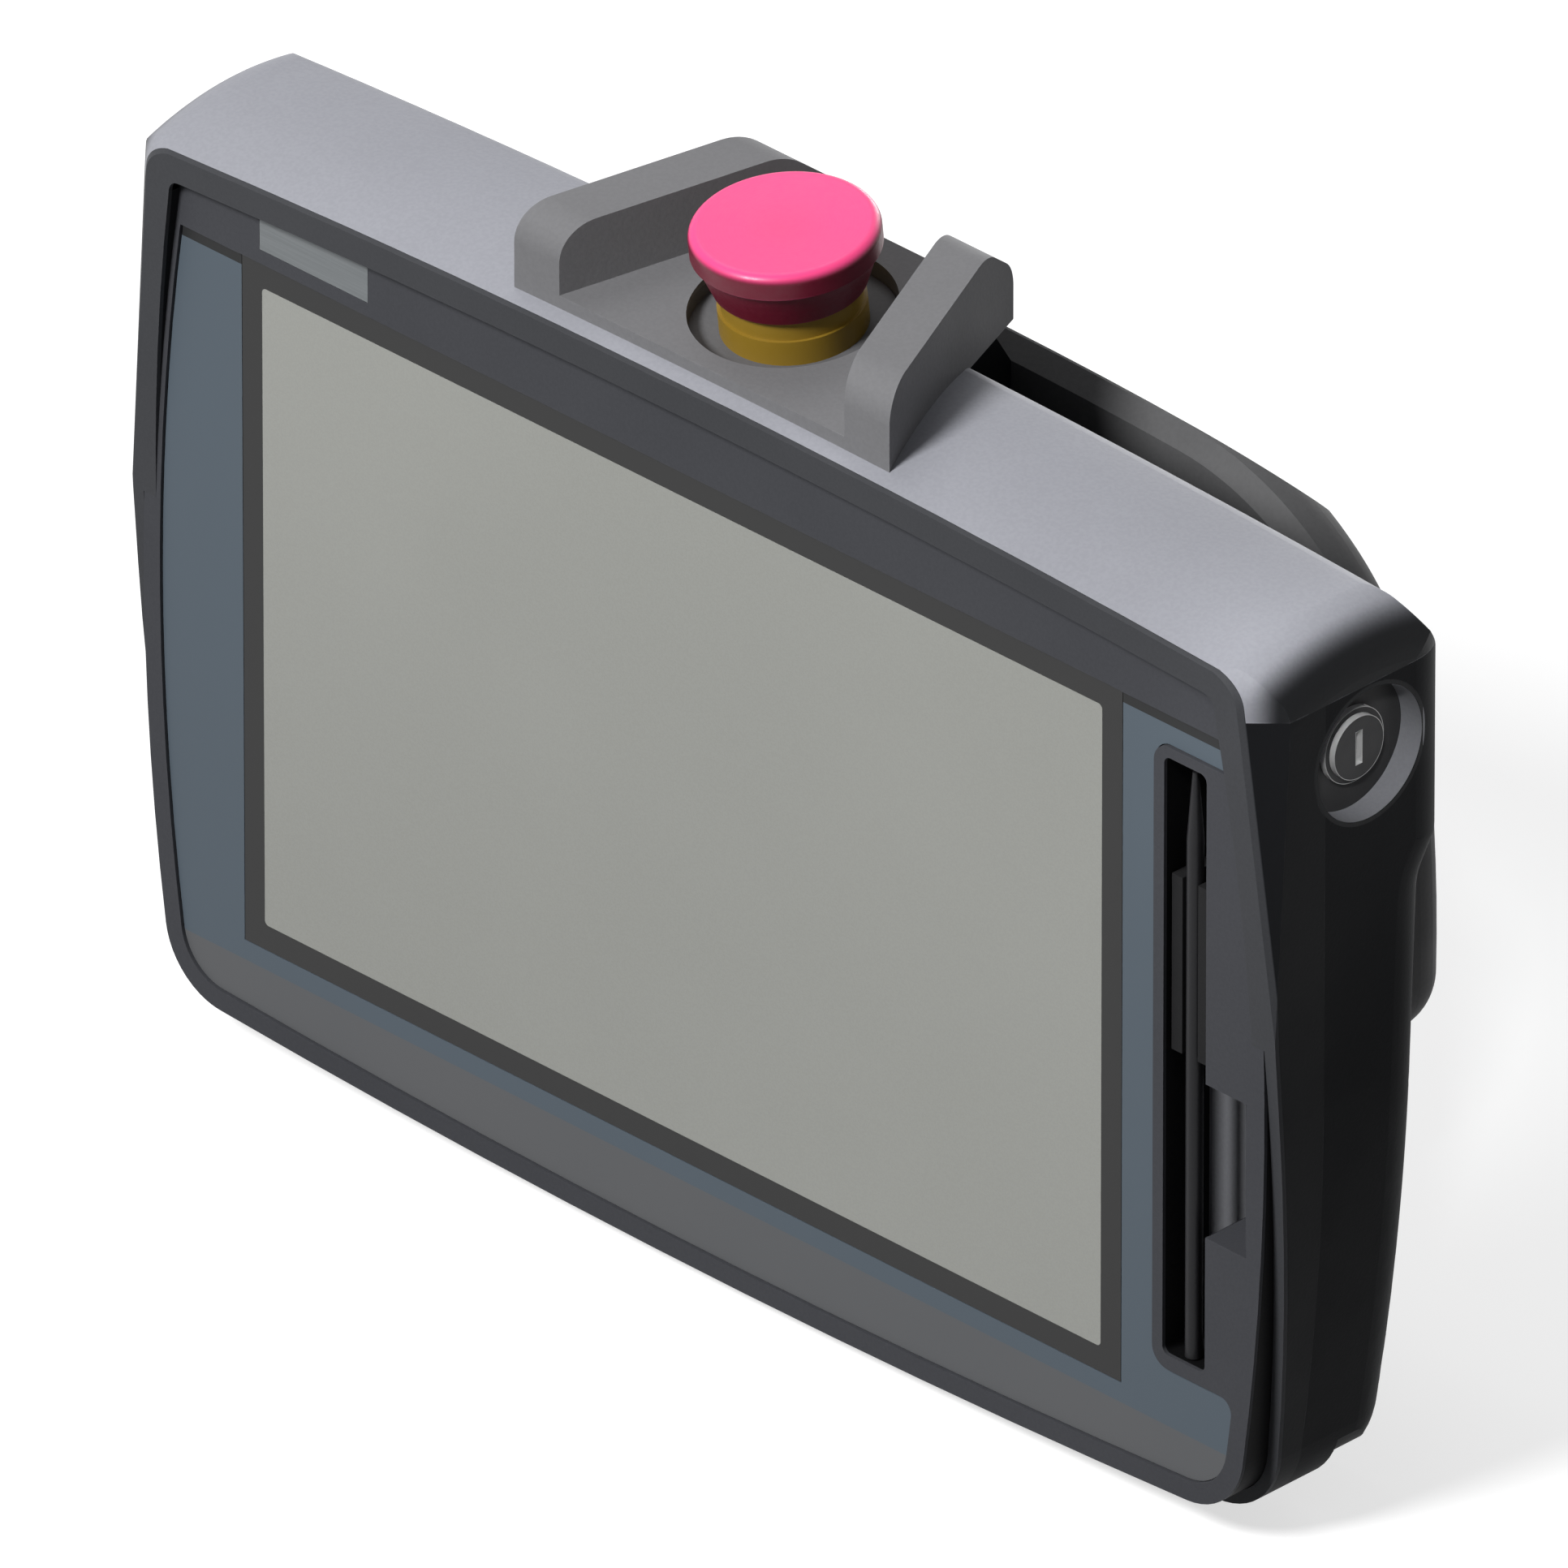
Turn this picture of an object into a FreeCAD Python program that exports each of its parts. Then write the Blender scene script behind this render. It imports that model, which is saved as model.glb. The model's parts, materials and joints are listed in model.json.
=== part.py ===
import FreeCAD, Part
import math
import os
from FreeCAD import Vector

# Handheld operator panel: a shallow barrel-sided housing with a 10.1 inch touch display, a mushroom
# emergency stop between two guard arms on top, a key switch on the right side, a stylus in the front and
# a ring handle with two enabling levers behind.
#
# Millimetres. X runs to the operator's right, Y away from the operator, Z up. While the pieces are built,
# Y is 0 on the face of the front film; at the end all of them move so that the origin is at the middle of
# the base.

# Display
DISPLAY_WIDTH = 217.0
DISPLAY_HEIGHT = 135.6
DISPLAY_X = -5.8
DISPLAY_Z = 97.0
GLASS_BORDER_X = 5.5
GLASS_BORDER_Z = 5.2
GLASS_THICKNESS = 1.8
GASKET_THICKNESS = 1.0
GASKET_WIDTH = 4.0
LCD_DEPTH = 7.0
LCD_OVERHANG = 6.0
BRACKET_WALL = 1.5

# Outline of the front, a barrel on all four sides
FRONT_MARGIN = 39.7
HALF_WIDTH = DISPLAY_WIDTH / 2 + FRONT_MARGIN
SIDE_RADIUS = 515.0
SIDE_CENTRE_Z = 93.0
BOTTOM_RADIUS = 2091.0
BOTTOM_CORNER = 18.0
TOP_CORNER = 8.5
BARREL_RADIUS = 2400.0

# Leaning front face of the outer frame, which crosses the face of the plate at LEAN_Z
PLATE_FACE_Y = -0.65
LEAN_Z = 109.5
LEAN_UPPER = 0.045
LEAN_LOWER = 0.0715
RIM_WIDTH = 5.8
PLATE_INSET = 2.6
FRAME_DEPTH = 12.0
FLANGE_THICKNESS = 1.0

# Crowned top and tapered back
CROWN_Y = 23.0
CROWN_Z = 195.8
CROWN_RADIUS = 71.7
RIDGE_Y = 34.0
RIDGE_ROUND = 5.0
ROLL_RADIUS = 12.0
ROLL_RISE = 0.06
BACK_Y = 47.5
BACK_TOP_Z = 176.0
SHOULDER_Z = 137.0
SHOULDER_DROP = 7.5
LOWER_BACK_Y = 42.8
FOOT_BACK_Y = 37.8
SHOULDER_ROUND = 6.0
BACK_ROUND = 12.0
REAR_STEP_Y = 22.0
REAR_LIFT = 3.0
WALL = 2.6
SPLIT_Z = 178.0
FACET_FOOT_Z = 112.0
FACET_TOP_Y = 3.3
FACET_TOP_Z = 183.7
FACET_INSET = 7.5

# Front plate, film and bay of the stylus
PLATE_THICKNESS = 3.0
SKIRT_BACK_Y = 9.0
SKIRT_WALL = 2.0
FIT = 0.15
FILM_THICKNESS = 0.5
FILM_INSET = 7.1
FILM_TOP_Z = 169.9
BAY_MARGIN = 14.0
BAY_X = DISPLAY_X + DISPLAY_WIDTH / 2 + BAY_MARGIN
BAY_LOW_Z = 32.0
BAY_HIGH_Z = 163.5
BAY_CORNER = 4.0
FILM_CORNER = 3.0
SLOT_MARGIN = 2.8
SLOT_X = BAY_X + SLOT_MARGIN
SLOT_WIDTH = 10.9
SLOT_LOW_Z = 35.2
SLOT_HIGH_Z = 161.1
SLOT_FLOOR_Y = 12.0
TUB_WALL = 1.6
NOTCH_WIDTH = 10.5
NOTCH_LOW_Z = 64.0
NOTCH_HIGH_Z = 96.4
STYLUS_INSET = 5.2
STYLUS_X = SLOT_X + STYLUS_INSET
STYLUS_Y = 2.3
STYLUS_RADIUS = 1.65
STYLUS_TIP_RADIUS = 0.6
STYLUS_LENGTH = 123.4
STYLUS_CONE = 14.0
STYLUS_GAP = 0.35
CLIP_LOW_Z = 99.0
CLIP_HIGH_Z = 136.0
CLIP_WALL = 2.7
CLIP_FRONT_Y = 1.0
CLIP_BASE = 2.0
LABEL_INSET = 47.8
LABEL_X = LABEL_INSET - HALF_WIDTH
LABEL_Z = 177.4
LABEL_WIDTH = 28.4
LABEL_HEIGHT = 8.7
LABEL_THICKNESS = 0.4

# Boards behind the display
BOARD_INSET = 8.5
BOARD_WIDTH = DISPLAY_WIDTH - 2 * BOARD_INSET
BOARD_HEIGHT = 100.0
BOARD_THICKNESS = 1.6
BOARD_LOW_Z = 30.0
STANDOFF_LENGTH = 4.0
STANDOFF_RADIUS = 3.0
STANDOFF_INSET = 8.0
BOARD_SCREW_RADIUS = 1.5
BOARD_SCREW_HEAD = 1.8
PROCESSOR = (34.0, 34.0, 5.0)
MEMORY = (46.0, 22.0, 3.0)
SOCKET = (26.0, 10.0, 8.0)

# Guard of the emergency stop
GUARD_FRONT_Y = -0.2
GUARD_HALF_WIDTH = 48.5
GUARD_ARM = 11.7
GUARD_TAPER = 0.393
GUARD_BASE_Y = 49.0
GUARD_BASE_Z = 194.3
GUARD_BASE_SLOPE = 0.1317
GUARD_HOLE_RADIUS = 19.6
GUARD_ARM_FRONT_Z = 208.0
GUARD_ARM_PEAK = (42.0, 213.6)
GUARD_ARM_REAR = (52.8, 205.0)
GUARD_ARM_ROUNDS = (8.0, 9.0, 8.0)
GUARD_FLOOR_Z = 190.5

# Emergency stop, built upright about its own axis and then tilted towards the operator
STOP_Y = 23.7
STOP_Z = 195.0
STOP_TILT = 7.0
STOP_TRAVEL = 4.0
STOP_SEAT_Z = -1.2
CAP_RADIUS = 17.9
CAP_HEIGHT = 20.9
CAP_SKIRT_Z = 8.3
CAP_SKIRT_RADIUS = 14.5
CAP_BAND_LOW = 16.0
CAP_EDGE_ROUND = 1.9
CAP_DISH = 0.5
CAP_BORE = 13.6
CAP_BOSS_RADIUS = 8.5
CAP_BOSS_Z = 9.5
CAP_CEILING_Z = 15.0
COLLAR_RADIUS = 13.9
COLLAR_STEP_Z = 3.9
COLLAR_SLEEVE_RADIUS = 13.3
COLLAR_SLEEVE_BORE = 9.2
COLLAR_TOP_Z = 8.1
BARREL_BODY_RADIUS = 11.0
BARREL_TOP_Z = 3.0
BARREL_LOW_Z = -24.0
PLUNGER_RADIUS = 6.0
PLUNGER_TOP_Z = 13.0
PLUNGER_LOW_Z = -30.0
RUNNING = 0.05
SPRING_WALL = 1.4
STOP_NUT_RADIUS = 15.0
STOP_NUT_LOW_Z = -8.0
STOP_BLOCK = 26.0
STOP_BLOCK_LENGTH = 26.0

# Key switch in the right side
KEY_Y = 23.6
KEY_Z = 163.4
KEY_RECESS_RADIUS = 13.5
KEY_RECESS_DEPTH = 5.5
KEY_LINER_WALL = 0.9
KEY_LINER_FLANGE = 2.4
KEY_RING_RADIUS = 7.6
KEY_RING_HEIGHT = 1.4
KEY_ROTOR_RADIUS = 6.4
KEY_ROTOR_HEIGHT = 2.6
KEY_SLOT_LENGTH = 6.8
KEY_SLOT_WIDTH = 1.6
KEY_SLOT_DEPTH = 3.0
KEY_DISC = 2.0
KEY_BODY_RADIUS = 8.5
KEY_BODY_LENGTH = 20.0
KEY_NUT_RADIUS = 12.0
KEY_NUT_LENGTH = 3.6
KEY_BLOCK = 18.0
KEY_BLOCK_LENGTH = 18.0

# Ring handle behind the housing
HANDLE_FRONT_Y = 64.0
HANDLE_SPLIT_Y = 74.0
HANDLE_BACK_Y = 80.0
HANDLE_INSET = 32.2
HANDLE_HALF_WIDTH = HALF_WIDTH - HANDLE_INSET
HANDLE_SIDE_RADIUS = 326.0
HANDLE_SIDE_Z = 89.0
HANDLE_TOP_Z = 179.6
HANDLE_TOP_RADIUS = 1050.0
HANDLE_LOW_Z = 68.0
HANDLE_TOP_CORNER = 58.0
HANDLE_LOW_CORNER = 14.0
HANDLE_BAR = 24.0
HANDLE_BEVEL = 3.4
HANDLE_BACK_ROUND = 10.0
HANDLE_INNER_ROUND = 4.0
HANDLE_FALL = 12.0
NECK_HALF_WIDTH = 16.0
NECK_LOW_Z = 157.0
NECK_REAR_Z = 176.0
NECK_TOP_Z = 194.0
NECK_FLAT_Y = 53.0
POST_RADIUS = 8.0
POST_X = 50.0
POST_Z = 82.0
NECK_SCREW_X = 8.0
NECK_SCREW_Z = 164.0
HANDLE_SCREW_RADIUS = 2.0
HANDLE_SCREW_HEAD = 3.4
HANDLE_SCREW_HEAD_DEPTH = 3.0
HANDLE_SCREW_TIP_Y = 52.0

# Enabling levers in the side bars of the handle
LEVER_INSET = 17.0
LEVER_X = HANDLE_HALF_WIDTH - LEVER_INSET
LEVER_WIDTH = 10.0
LEVER_GAP = 0.4
LEVER_TOP_GAP = 0.9
LEVER_LOW_Z = 95.0
LEVER_HIGH_Z = 142.0
LEVER_PROUD = 3.0
LEVER_DEPTH = 5.0
LEVER_PIN_Z = 99.0
LEVER_PIN_Y = 68.0
LEVER_PIN_RADIUS = 1.5
LEVER_PIN_REACH = 1.2
LEVER_HUB_RADIUS = 3.6
SWITCH_Z = 132.0
SWITCH_HEIGHT = 12.0
SWITCH_WIDTH = 8.0
SWITCH_CLEARANCE = 4.3

# Connection compartment at the foot of the back
COVER_HALF_WIDTH = 60.0
COVER_BACK_Y = 62.0
COVER_HEIGHT = 58.0
COVER_WALL = 2.5
COVER_ROUND = 4.0
SEAL_THICKNESS = 1.2
SEAL_WIDTH = 6.0
COVER_SCREW_RADIUS = 2.0
COVER_SCREW_HEAD = 3.6
COVER_SCREW_HEAD_DEPTH = 2.6
COVER_SCREW_INSET = 8.0
COVER_SCREW_LOW_Z = 10.0
COVER_SCREW_TIP_Y = 34.0
COVER_POST_RADIUS = 4.5
PASSAGE_WIDTH = 60.0
PASSAGE_LOW_Z = 16.0
PASSAGE_HIGH_Z = 40.0
TERMINAL_BOARD_WIDTH = 80.0
TERMINAL_BOARD_LOW_Z = 8.0
TERMINAL_BOARD_HIGH_Z = 44.0
TERMINAL_BOARD_Y = 54.0
TERMINAL_STANDOFF_X = 34.0
TERMINAL_BLOCK_WIDTH = 52.0
TERMINAL_BLOCK_DEPTH = 9.0
TERMINAL_BLOCK_HEIGHT = 14.0
GLAND_Y = 50.0
GLAND_Z = 30.0
GLAND_THREAD_RADIUS = 6.5
GLAND_BORE_RADIUS = 4.0
GLAND_HEX = 9.0
GLAND_REACH = 9.0
GLAND_NUT_LENGTH = 4.0

# Screws that hold the rear shell to the frame
BOSS_RADIUS = 5.0
BOSS_BITE = 0.9
LOW_BOSS_INSET = 38.2
HOUSING_SCREWS = ((HALF_WIDTH - WALL - BOSS_RADIUS + BOSS_BITE, 112.0), (HALF_WIDTH - LOW_BOSS_INSET, 13.2))
HOUSING_SCREW_RADIUS = 1.6
HOUSING_SCREW_HEAD = 3.2
HOUSING_SCREW_HEAD_DEPTH = 2.6
HOUSING_SCREW_SEAT = 7.5

# Height and depth well past the whole panel, for cutting tools
BEYOND = 300.0

X_AXIS = Vector(1, 0, 0)
Y_AXIS = Vector(0, 1, 0)
Z_AXIS = Vector(0, 0, 1)

# Places that follow from the sizes above
GLASS_WIDTH = DISPLAY_WIDTH + 2 * GLASS_BORDER_X
GLASS_HEIGHT = DISPLAY_HEIGHT + 2 * GLASS_BORDER_Z
PLATE_BACK_Y = PLATE_FACE_Y + PLATE_THICKNESS
LCD_FRONT_Y = GLASS_THICKNESS + GASKET_THICKNESS
LCD_BACK_Y = LCD_FRONT_Y + LCD_DEPTH
BRACKET_BACK_Y = LCD_BACK_Y + BRACKET_WALL
BOARD_Y = BRACKET_BACK_Y + STANDOFF_LENGTH
SLOT_RIGHT_X = SLOT_X + SLOT_WIDTH
EAR_FRONT_Y = SKIRT_BACK_Y + FIT
HOUSING_SCREW_TIP_Y = EAR_FRONT_Y + FIT
NECK_FRONT_Y = STOP_Y + COLLAR_RADIUS + 1.0
SIDES = (-1, 1)


def box(x_span, y_span, z_span):
    size = [span[1] - span[0] for span in (x_span, y_span, z_span)]
    return Part.makeBox(*size, Vector(x_span[0], y_span[0], z_span[0]))


def centred(centre, width):
    return centre - width / 2, centre + width / 2


def rod(radius, start, end):
    return Part.makeCylinder(radius, (end - start).Length, start, end - start)


def rod_y(radius, x, z, y_start, y_end):
    return rod(radius, Vector(x, y_start, z), Vector(x, y_end, z))


def rod_x(radius, y, z, x_start, x_end):
    return rod(radius, Vector(x_start, y, z), Vector(x_end, y, z))


def prism(points, direction):
    return Part.Face(Part.makePolygon(points + points[:1])).extrude(direction)


def side_view(points, x_span):
    """A prism whose outline is given as (y, z) points, between two values of x."""
    return prism([Vector(x_span[0], y, z) for y, z in points], X_AXIS * (x_span[1] - x_span[0]))


def plan_view(points, z_span):
    """A prism whose outline is given as (x, y) points, between two heights."""
    return prism([Vector(x, y, z_span[0]) for x, y in points], Z_AXIS * (z_span[1] - z_span[0]))


def arc(start, middle, end):
    return Part.Arc(start, middle, end).toShape()


def turned(points):
    """A solid of revolution about Z from (radius, height) points."""
    outline = Part.makePolygon([Vector(r, 0, z) for r, z in points + points[:1]])
    return Part.Face(outline).revolve(Vector(), Z_AXIS, 360)


def joined(pieces):
    return pieces[0].multiFuse(pieces[1:]).removeSplitter()


def edges_along(shape, axis, keep):
    found = []
    for edge in shape.Edges:
        middle = (edge.FirstParameter + edge.LastParameter) / 2
        if abs(edge.tangentAt(middle).dot(axis)) > 0.99 and keep(edge.CenterOfMass):
            found.append(edge)
    return found


def front_y(z):
    """Depth of the outer frame's leaning front face at a height."""
    lean = LEAN_UPPER if z > LEAN_Z else LEAN_LOWER
    return PLATE_FACE_Y - lean * (z - LEAN_Z)


def crown_z(y, inset=0.0):
    """Height of the crowned top on the centre line."""
    return CROWN_Z - CROWN_RADIUS + math.sqrt((CROWN_RADIUS - inset) ** 2 - (y - CROWN_Y) ** 2)


def front_top():
    """Where the leaning front face meets the crowned top: the depth and the height."""
    height = CROWN_Z
    for _ in range(40):
        height = crown_z(front_y(height))
    return front_y(height), height


FRONT_TOP_Y, TOP_Z = front_top()
Y_SHIFT = -(FRONT_TOP_Y + HANDLE_BACK_Y) / 2


def lower_crossing(centre_a, radius_a, centre_b, radius_b):
    """The lower point with positive x where two circles in the XZ plane cross."""
    dx, dz = centre_b[0] - centre_a[0], centre_b[1] - centre_a[1]
    apart = math.hypot(dx, dz)
    along = (radius_a ** 2 - radius_b ** 2 + apart ** 2) / (2 * apart)
    across = math.sqrt(radius_a ** 2 - along ** 2)
    points = [(centre_a[0] + (along * dx - side * across * dz) / apart,
               centre_a[1] + (along * dz + side * across * dx) / apart) for side in SIDES]
    return min((point for point in points if point[0] > 0), key=lambda point: point[1])


def side_prism(inset=0.0, lift=0.0):
    """The housing seen from the front: an arched foot and sides that are arched below and straight above."""
    corner_x, corner_z = lower_crossing((HALF_WIDTH - SIDE_RADIUS, SIDE_CENTRE_Z), SIDE_RADIUS - inset,
                                        (0, BOTTOM_RADIUS), BOTTOM_RADIUS - inset - lift)
    wall = HALF_WIDTH - inset
    middle_z = (corner_z + SIDE_CENTRE_Z) / 2
    middle_x = wall - SIDE_RADIUS + inset + math.sqrt((SIDE_RADIUS - inset) ** 2 - (SIDE_CENTRE_Z - middle_z) ** 2)

    def point(x, z):
        return Vector(x, -BEYOND, z)

    shoulders = [point(side * wall, SIDE_CENTRE_Z) for side in SIDES]
    tops = [point(side * wall, BEYOND) for side in SIDES]
    corners = [point(side * corner_x, corner_z) for side in SIDES]
    outline = Part.Wire([
        arc(corners[1], point(middle_x, middle_z), shoulders[1]),
        Part.makeLine(shoulders[1], tops[1]),
        Part.makeLine(tops[1], tops[0]),
        Part.makeLine(tops[0], shoulders[0]),
        arc(shoulders[0], point(-middle_x, middle_z), corners[0]),
        arc(corners[0], point(0, inset + lift), corners[1]),
    ])
    solid = Part.Face(outline).extrude(Y_AXIS * 2 * BEYOND)
    low_edges = edges_along(solid, Y_AXIS, lambda centre: centre.z < SIDE_CENTRE_Z / 2)
    return solid.makeFillet(BOTTOM_CORNER - inset, low_edges)


def front_outline(inset, y_span):
    """The arched outline of the front with rounded corners, moved inwards by an inset."""
    depth = y_span[1] - y_span[0]
    arches = [(HALF_WIDTH - SIDE_RADIUS, SIDE_CENTRE_Z, SIDE_RADIUS),
              (SIDE_RADIUS - HALF_WIDTH, SIDE_CENTRE_Z, SIDE_RADIUS),
              (0, BOTTOM_RADIUS, BOTTOM_RADIUS),
              (0, TOP_Z - BARREL_RADIUS, BARREL_RADIUS)]
    solid = box((-BEYOND, BEYOND), y_span, (-BEYOND, BEYOND))
    for x, z, radius in arches:
        solid = solid.common(Part.makeCylinder(radius - inset, depth, Vector(x, y_span[0], z), Y_AXIS))
    for corner, keep in ((BOTTOM_CORNER, lambda centre: centre.z < SIDE_CENTRE_Z),
                         (TOP_CORNER, lambda centre: centre.z > SIDE_CENTRE_Z)):
        corner_edges = edges_along(solid, Y_AXIS, lambda centre: abs(centre.x) > HALF_WIDTH / 2 and keep(centre))
        solid = solid.makeFillet(max(corner - inset, 1.0), corner_edges)
    return solid


def rounded_outline(points):
    """A closed wire through (point, corner radius) pairs, with an arc at each corner that has a radius."""
    edges = []
    previous_end = None
    first_start = None
    for index, (point, radius) in enumerate(points):
        before = points[index - 1][0]
        after = points[(index + 1) % len(points)][0]
        arm_in = (before - point).normalize()
        arm_out = (after - point).normalize()
        half_turn = arm_in.getAngle(arm_out) / 2
        reach = radius / math.tan(half_turn)
        start, finish = point + arm_in * reach, point + arm_out * reach
        if previous_end is not None:
            edges.append(Part.makeLine(previous_end, start))
        if radius > 0:
            bisector = (arm_in + arm_out).normalize()
            middle = point + bisector * (radius / math.sin(half_turn) - radius)
            edges.append(arc(start, middle, finish))
        first_start = first_start or start
        previous_end = finish
    edges.append(Part.makeLine(previous_end, first_start))
    return Part.Wire(edges)


def side_profile(inset=0.0):
    """The housing seen from the side, from the leaning front to the tapered back."""
    low = -BEYOND / 10
    high = CROWN_Z + ROLL_RADIUS
    taper = (LOWER_BACK_Y - FOOT_BACK_Y) / (SHOULDER_Z - SHOULDER_DROP)
    corners = [((front_y(high), high), 0), ((BACK_Y - inset, high), 0),
               ((BACK_Y - inset, SHOULDER_Z), SHOULDER_ROUND / 2),
               ((LOWER_BACK_Y - inset, SHOULDER_Z - SHOULDER_DROP), SHOULDER_ROUND),
               ((FOOT_BACK_Y - inset + taper * low, low), 0),
               ((front_y(low), low), 0), ((PLATE_FACE_Y, LEAN_Z), 0)]
    outline = rounded_outline([(Vector(-BEYOND, y, z), radius) for (y, z), radius in corners])
    return Part.Face(outline).extrude(X_AXIS * 2 * BEYOND)


def barrel_top(inset=0.0):
    """Everything under the crown, the rounded ridge behind it and the slope down to the back."""
    slope = (BACK_Y - RIDGE_Y) / (crown_z(RIDGE_Y) - BACK_TOP_Z)
    low = BACK_TOP_Z - 2 * ROLL_RADIUS
    front = FRONT_TOP_Y - 2 * ROLL_RADIUS
    ridge = Vector(0, RIDGE_Y - inset, crown_z(RIDGE_Y - inset, inset))
    foot = Vector(0, BACK_Y - inset + slope * (BACK_TOP_Z - low), low)
    edges = [arc(Vector(0, front, crown_z(front, inset)), Vector(0, 0, crown_z(0, inset)), ridge),
             Part.makeLine(ridge, foot), Part.makeLine(foot, Vector(0, front, low)),
             Part.makeLine(Vector(0, front, low), Vector(0, front, crown_z(front, inset)))]
    face = Part.Face(Part.Wire(edges))
    axis_point = Vector(0, 0, TOP_Z - BARREL_RADIUS)
    half_angle = math.degrees(1.4 * HALF_WIDTH / BARREL_RADIUS)
    face.rotate(axis_point, Y_AXIS, -half_angle)
    solid = face.revolve(axis_point, Y_AXIS, 2 * half_angle)
    ridges = [edge for edge in solid.Edges
              if edge.Length > HALF_WIDTH and abs(edge.CenterOfMass.y - ridge.y) < 0.1]
    solid = solid.makeFillet(RIDGE_ROUND - inset / 2, ridges)
    below = box((-BEYOND, BEYOND), (-BEYOND, BEYOND), (-BEYOND, BACK_TOP_Z - ROLL_RADIUS / 2))
    return solid.fuse(below)


def rolled_ends(inset=0.0):
    """Everything under a crown whose ends roll over into the side walls."""
    wall = HALF_WIDTH - inset
    roll = ROLL_RADIUS - inset
    axis_z = CROWN_Z - CROWN_RADIUS
    centre_z = CROWN_Z + ROLL_RISE - inset - (BARREL_RADIUS - inset)

    def barrel(x):
        return centre_z + math.sqrt((BARREL_RADIUS - inset) ** 2 - x ** 2)

    roll_x = wall - roll
    lean = math.asin(roll_x / (BARREL_RADIUS - inset - roll))
    roll_z = centre_z + (BARREL_RADIUS - inset - roll) * math.cos(lean)

    def on_roll(side, angle):
        return Vector(side * (roll_x + roll * math.sin(angle)), CROWN_Y, roll_z + roll * math.cos(angle))

    ends = {side: (on_roll(side, lean), on_roll(side, (lean + math.pi / 2) / 2), on_roll(side, math.pi / 2))
            for side in SIDES}
    feet = {side: Vector(side * wall, CROWN_Y, axis_z) for side in SIDES}
    outline = Part.Wire([
        arc(ends[-1][0], Vector(0, CROWN_Y, barrel(0)), ends[1][0]),
        arc(*ends[1]),
        Part.makeLine(ends[1][2], feet[1]),
        Part.makeLine(feet[1], feet[-1]),
        Part.makeLine(feet[-1], ends[-1][2]),
        arc(*reversed(ends[-1])),
    ])
    half = Part.Face(outline)
    axis_point = Vector(0, CROWN_Y, axis_z)
    half.rotate(axis_point, X_AXIS, -90)
    dome = half.revolve(axis_point, X_AXIS, 180)
    below = box((-BEYOND, BEYOND), (-BEYOND, BEYOND), (-BEYOND, axis_z))
    return dome.fuse(below)


def facet_plane(side, inset=0.0):
    """A point on the slanted facet beside the frame's upper corner, the facet's outward normal and its length."""
    foot = Vector(side * HALF_WIDTH, front_y(FACET_FOOT_Z), FACET_FOOT_Z)
    rear = Vector(side * HALF_WIDTH, FACET_TOP_Y, FACET_TOP_Z)
    corner = Vector(side * (HALF_WIDTH - FACET_INSET), front_y(FACET_TOP_Z), FACET_TOP_Z)
    normal = (rear - foot).cross(corner - foot)
    normal = normal * (-1 if normal.y > 0 else 1)
    normal.normalize()
    return foot - normal * inset, normal, (rear - foot).normalize()


def crown_plane(side, inset=0.0):
    """A point on the crown near the frame's upper corner, the crown's outward normal there and a level direction."""
    x = side * (HALF_WIDTH - ROLL_RADIUS)
    slope = (CROWN_Y - FRONT_TOP_Y) / math.sqrt(CROWN_RADIUS ** 2 - (CROWN_Y - FRONT_TOP_Y) ** 2)
    point = Vector(x, FRONT_TOP_Y, TOP_Z - x ** 2 / (2 * BARREL_RADIUS))
    normal = Vector(x / BARREL_RADIUS, -slope, 1).normalize()
    return point - normal * inset, normal, Y_AXIS.cross(normal).normalize()


def outside_of(point, normal, along):
    """A large block on the outer side of a plane."""
    across = along.cross(normal)
    reach = [(-1, -1), (1, -1), (1, 1), (-1, 1)]
    return prism([point + along * (a * BEYOND) + across * (b * BEYOND) for a, b in reach], normal * BEYOND)


def rounded_corner(side, inset=0.0):
    """Everything inside the facet and the crown's plane, with the edge between the two rounded."""
    everywhere = (-BEYOND, BEYOND)
    facet, crown = facet_plane(side, inset), crown_plane(side, inset)
    block = box(everywhere, everywhere, everywhere).cut(outside_of(*facet)).cut(outside_of(*crown))
    ridge = facet[1].cross(crown[1]).normalize()
    edges = edges_along(block, ridge, lambda centre: abs((centre - crown[0]).dot(crown[1])) < 0.01
                        and abs((centre - facet[0]).dot(facet[1])) < 0.01)
    return block.makeFillet(TOP_CORNER - inset, edges)


def housing(inset=0.0):
    """The whole housing as one solid, or its hollow where an inset is given."""
    body = side_prism(inset).common(side_profile(inset))
    rear_edges = [edge for edge in body.Edges if edge.CenterOfMass.y > (LOWER_BACK_Y - inset) / 2
                  and abs(edge.CenterOfMass.x) > HALF_WIDTH * 0.8
                  and abs(edge.tangentAt((edge.FirstParameter + edge.LastParameter) / 2).y) < 0.9]
    body = body.makeFillet(BACK_ROUND - inset / 2, rear_edges)
    for side in SIDES:
        body = body.common(rounded_corner(side, inset))
    return body.common(barrel_top(inset)).common(rolled_ends(inset)).removeSplitter()


def leaning_slab(thickness):
    """Everything from the frame's leaning front face to a depth behind it."""
    low, high = -BEYOND / 10, CROWN_Z + ROLL_RADIUS
    front = [(front_y(low), low), (PLATE_FACE_Y, LEAN_Z), (front_y(high), high)]
    back = [(y + thickness, z) for y, z in reversed(front)]
    return side_view(front + back, (-BEYOND, BEYOND))


def on_stop_axis(shape):
    """Tilts a piece that was built upright, and puts it on the emergency stop's axis."""
    shape.rotate(Vector(), X_AXIS, STOP_TILT)
    shape.translate(Vector(0, STOP_Y, STOP_Z))
    return shape


def stop_rod(radius, low, high):
    return on_stop_axis(rod(radius, Z_AXIS * low, Z_AXIS * high))


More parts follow.
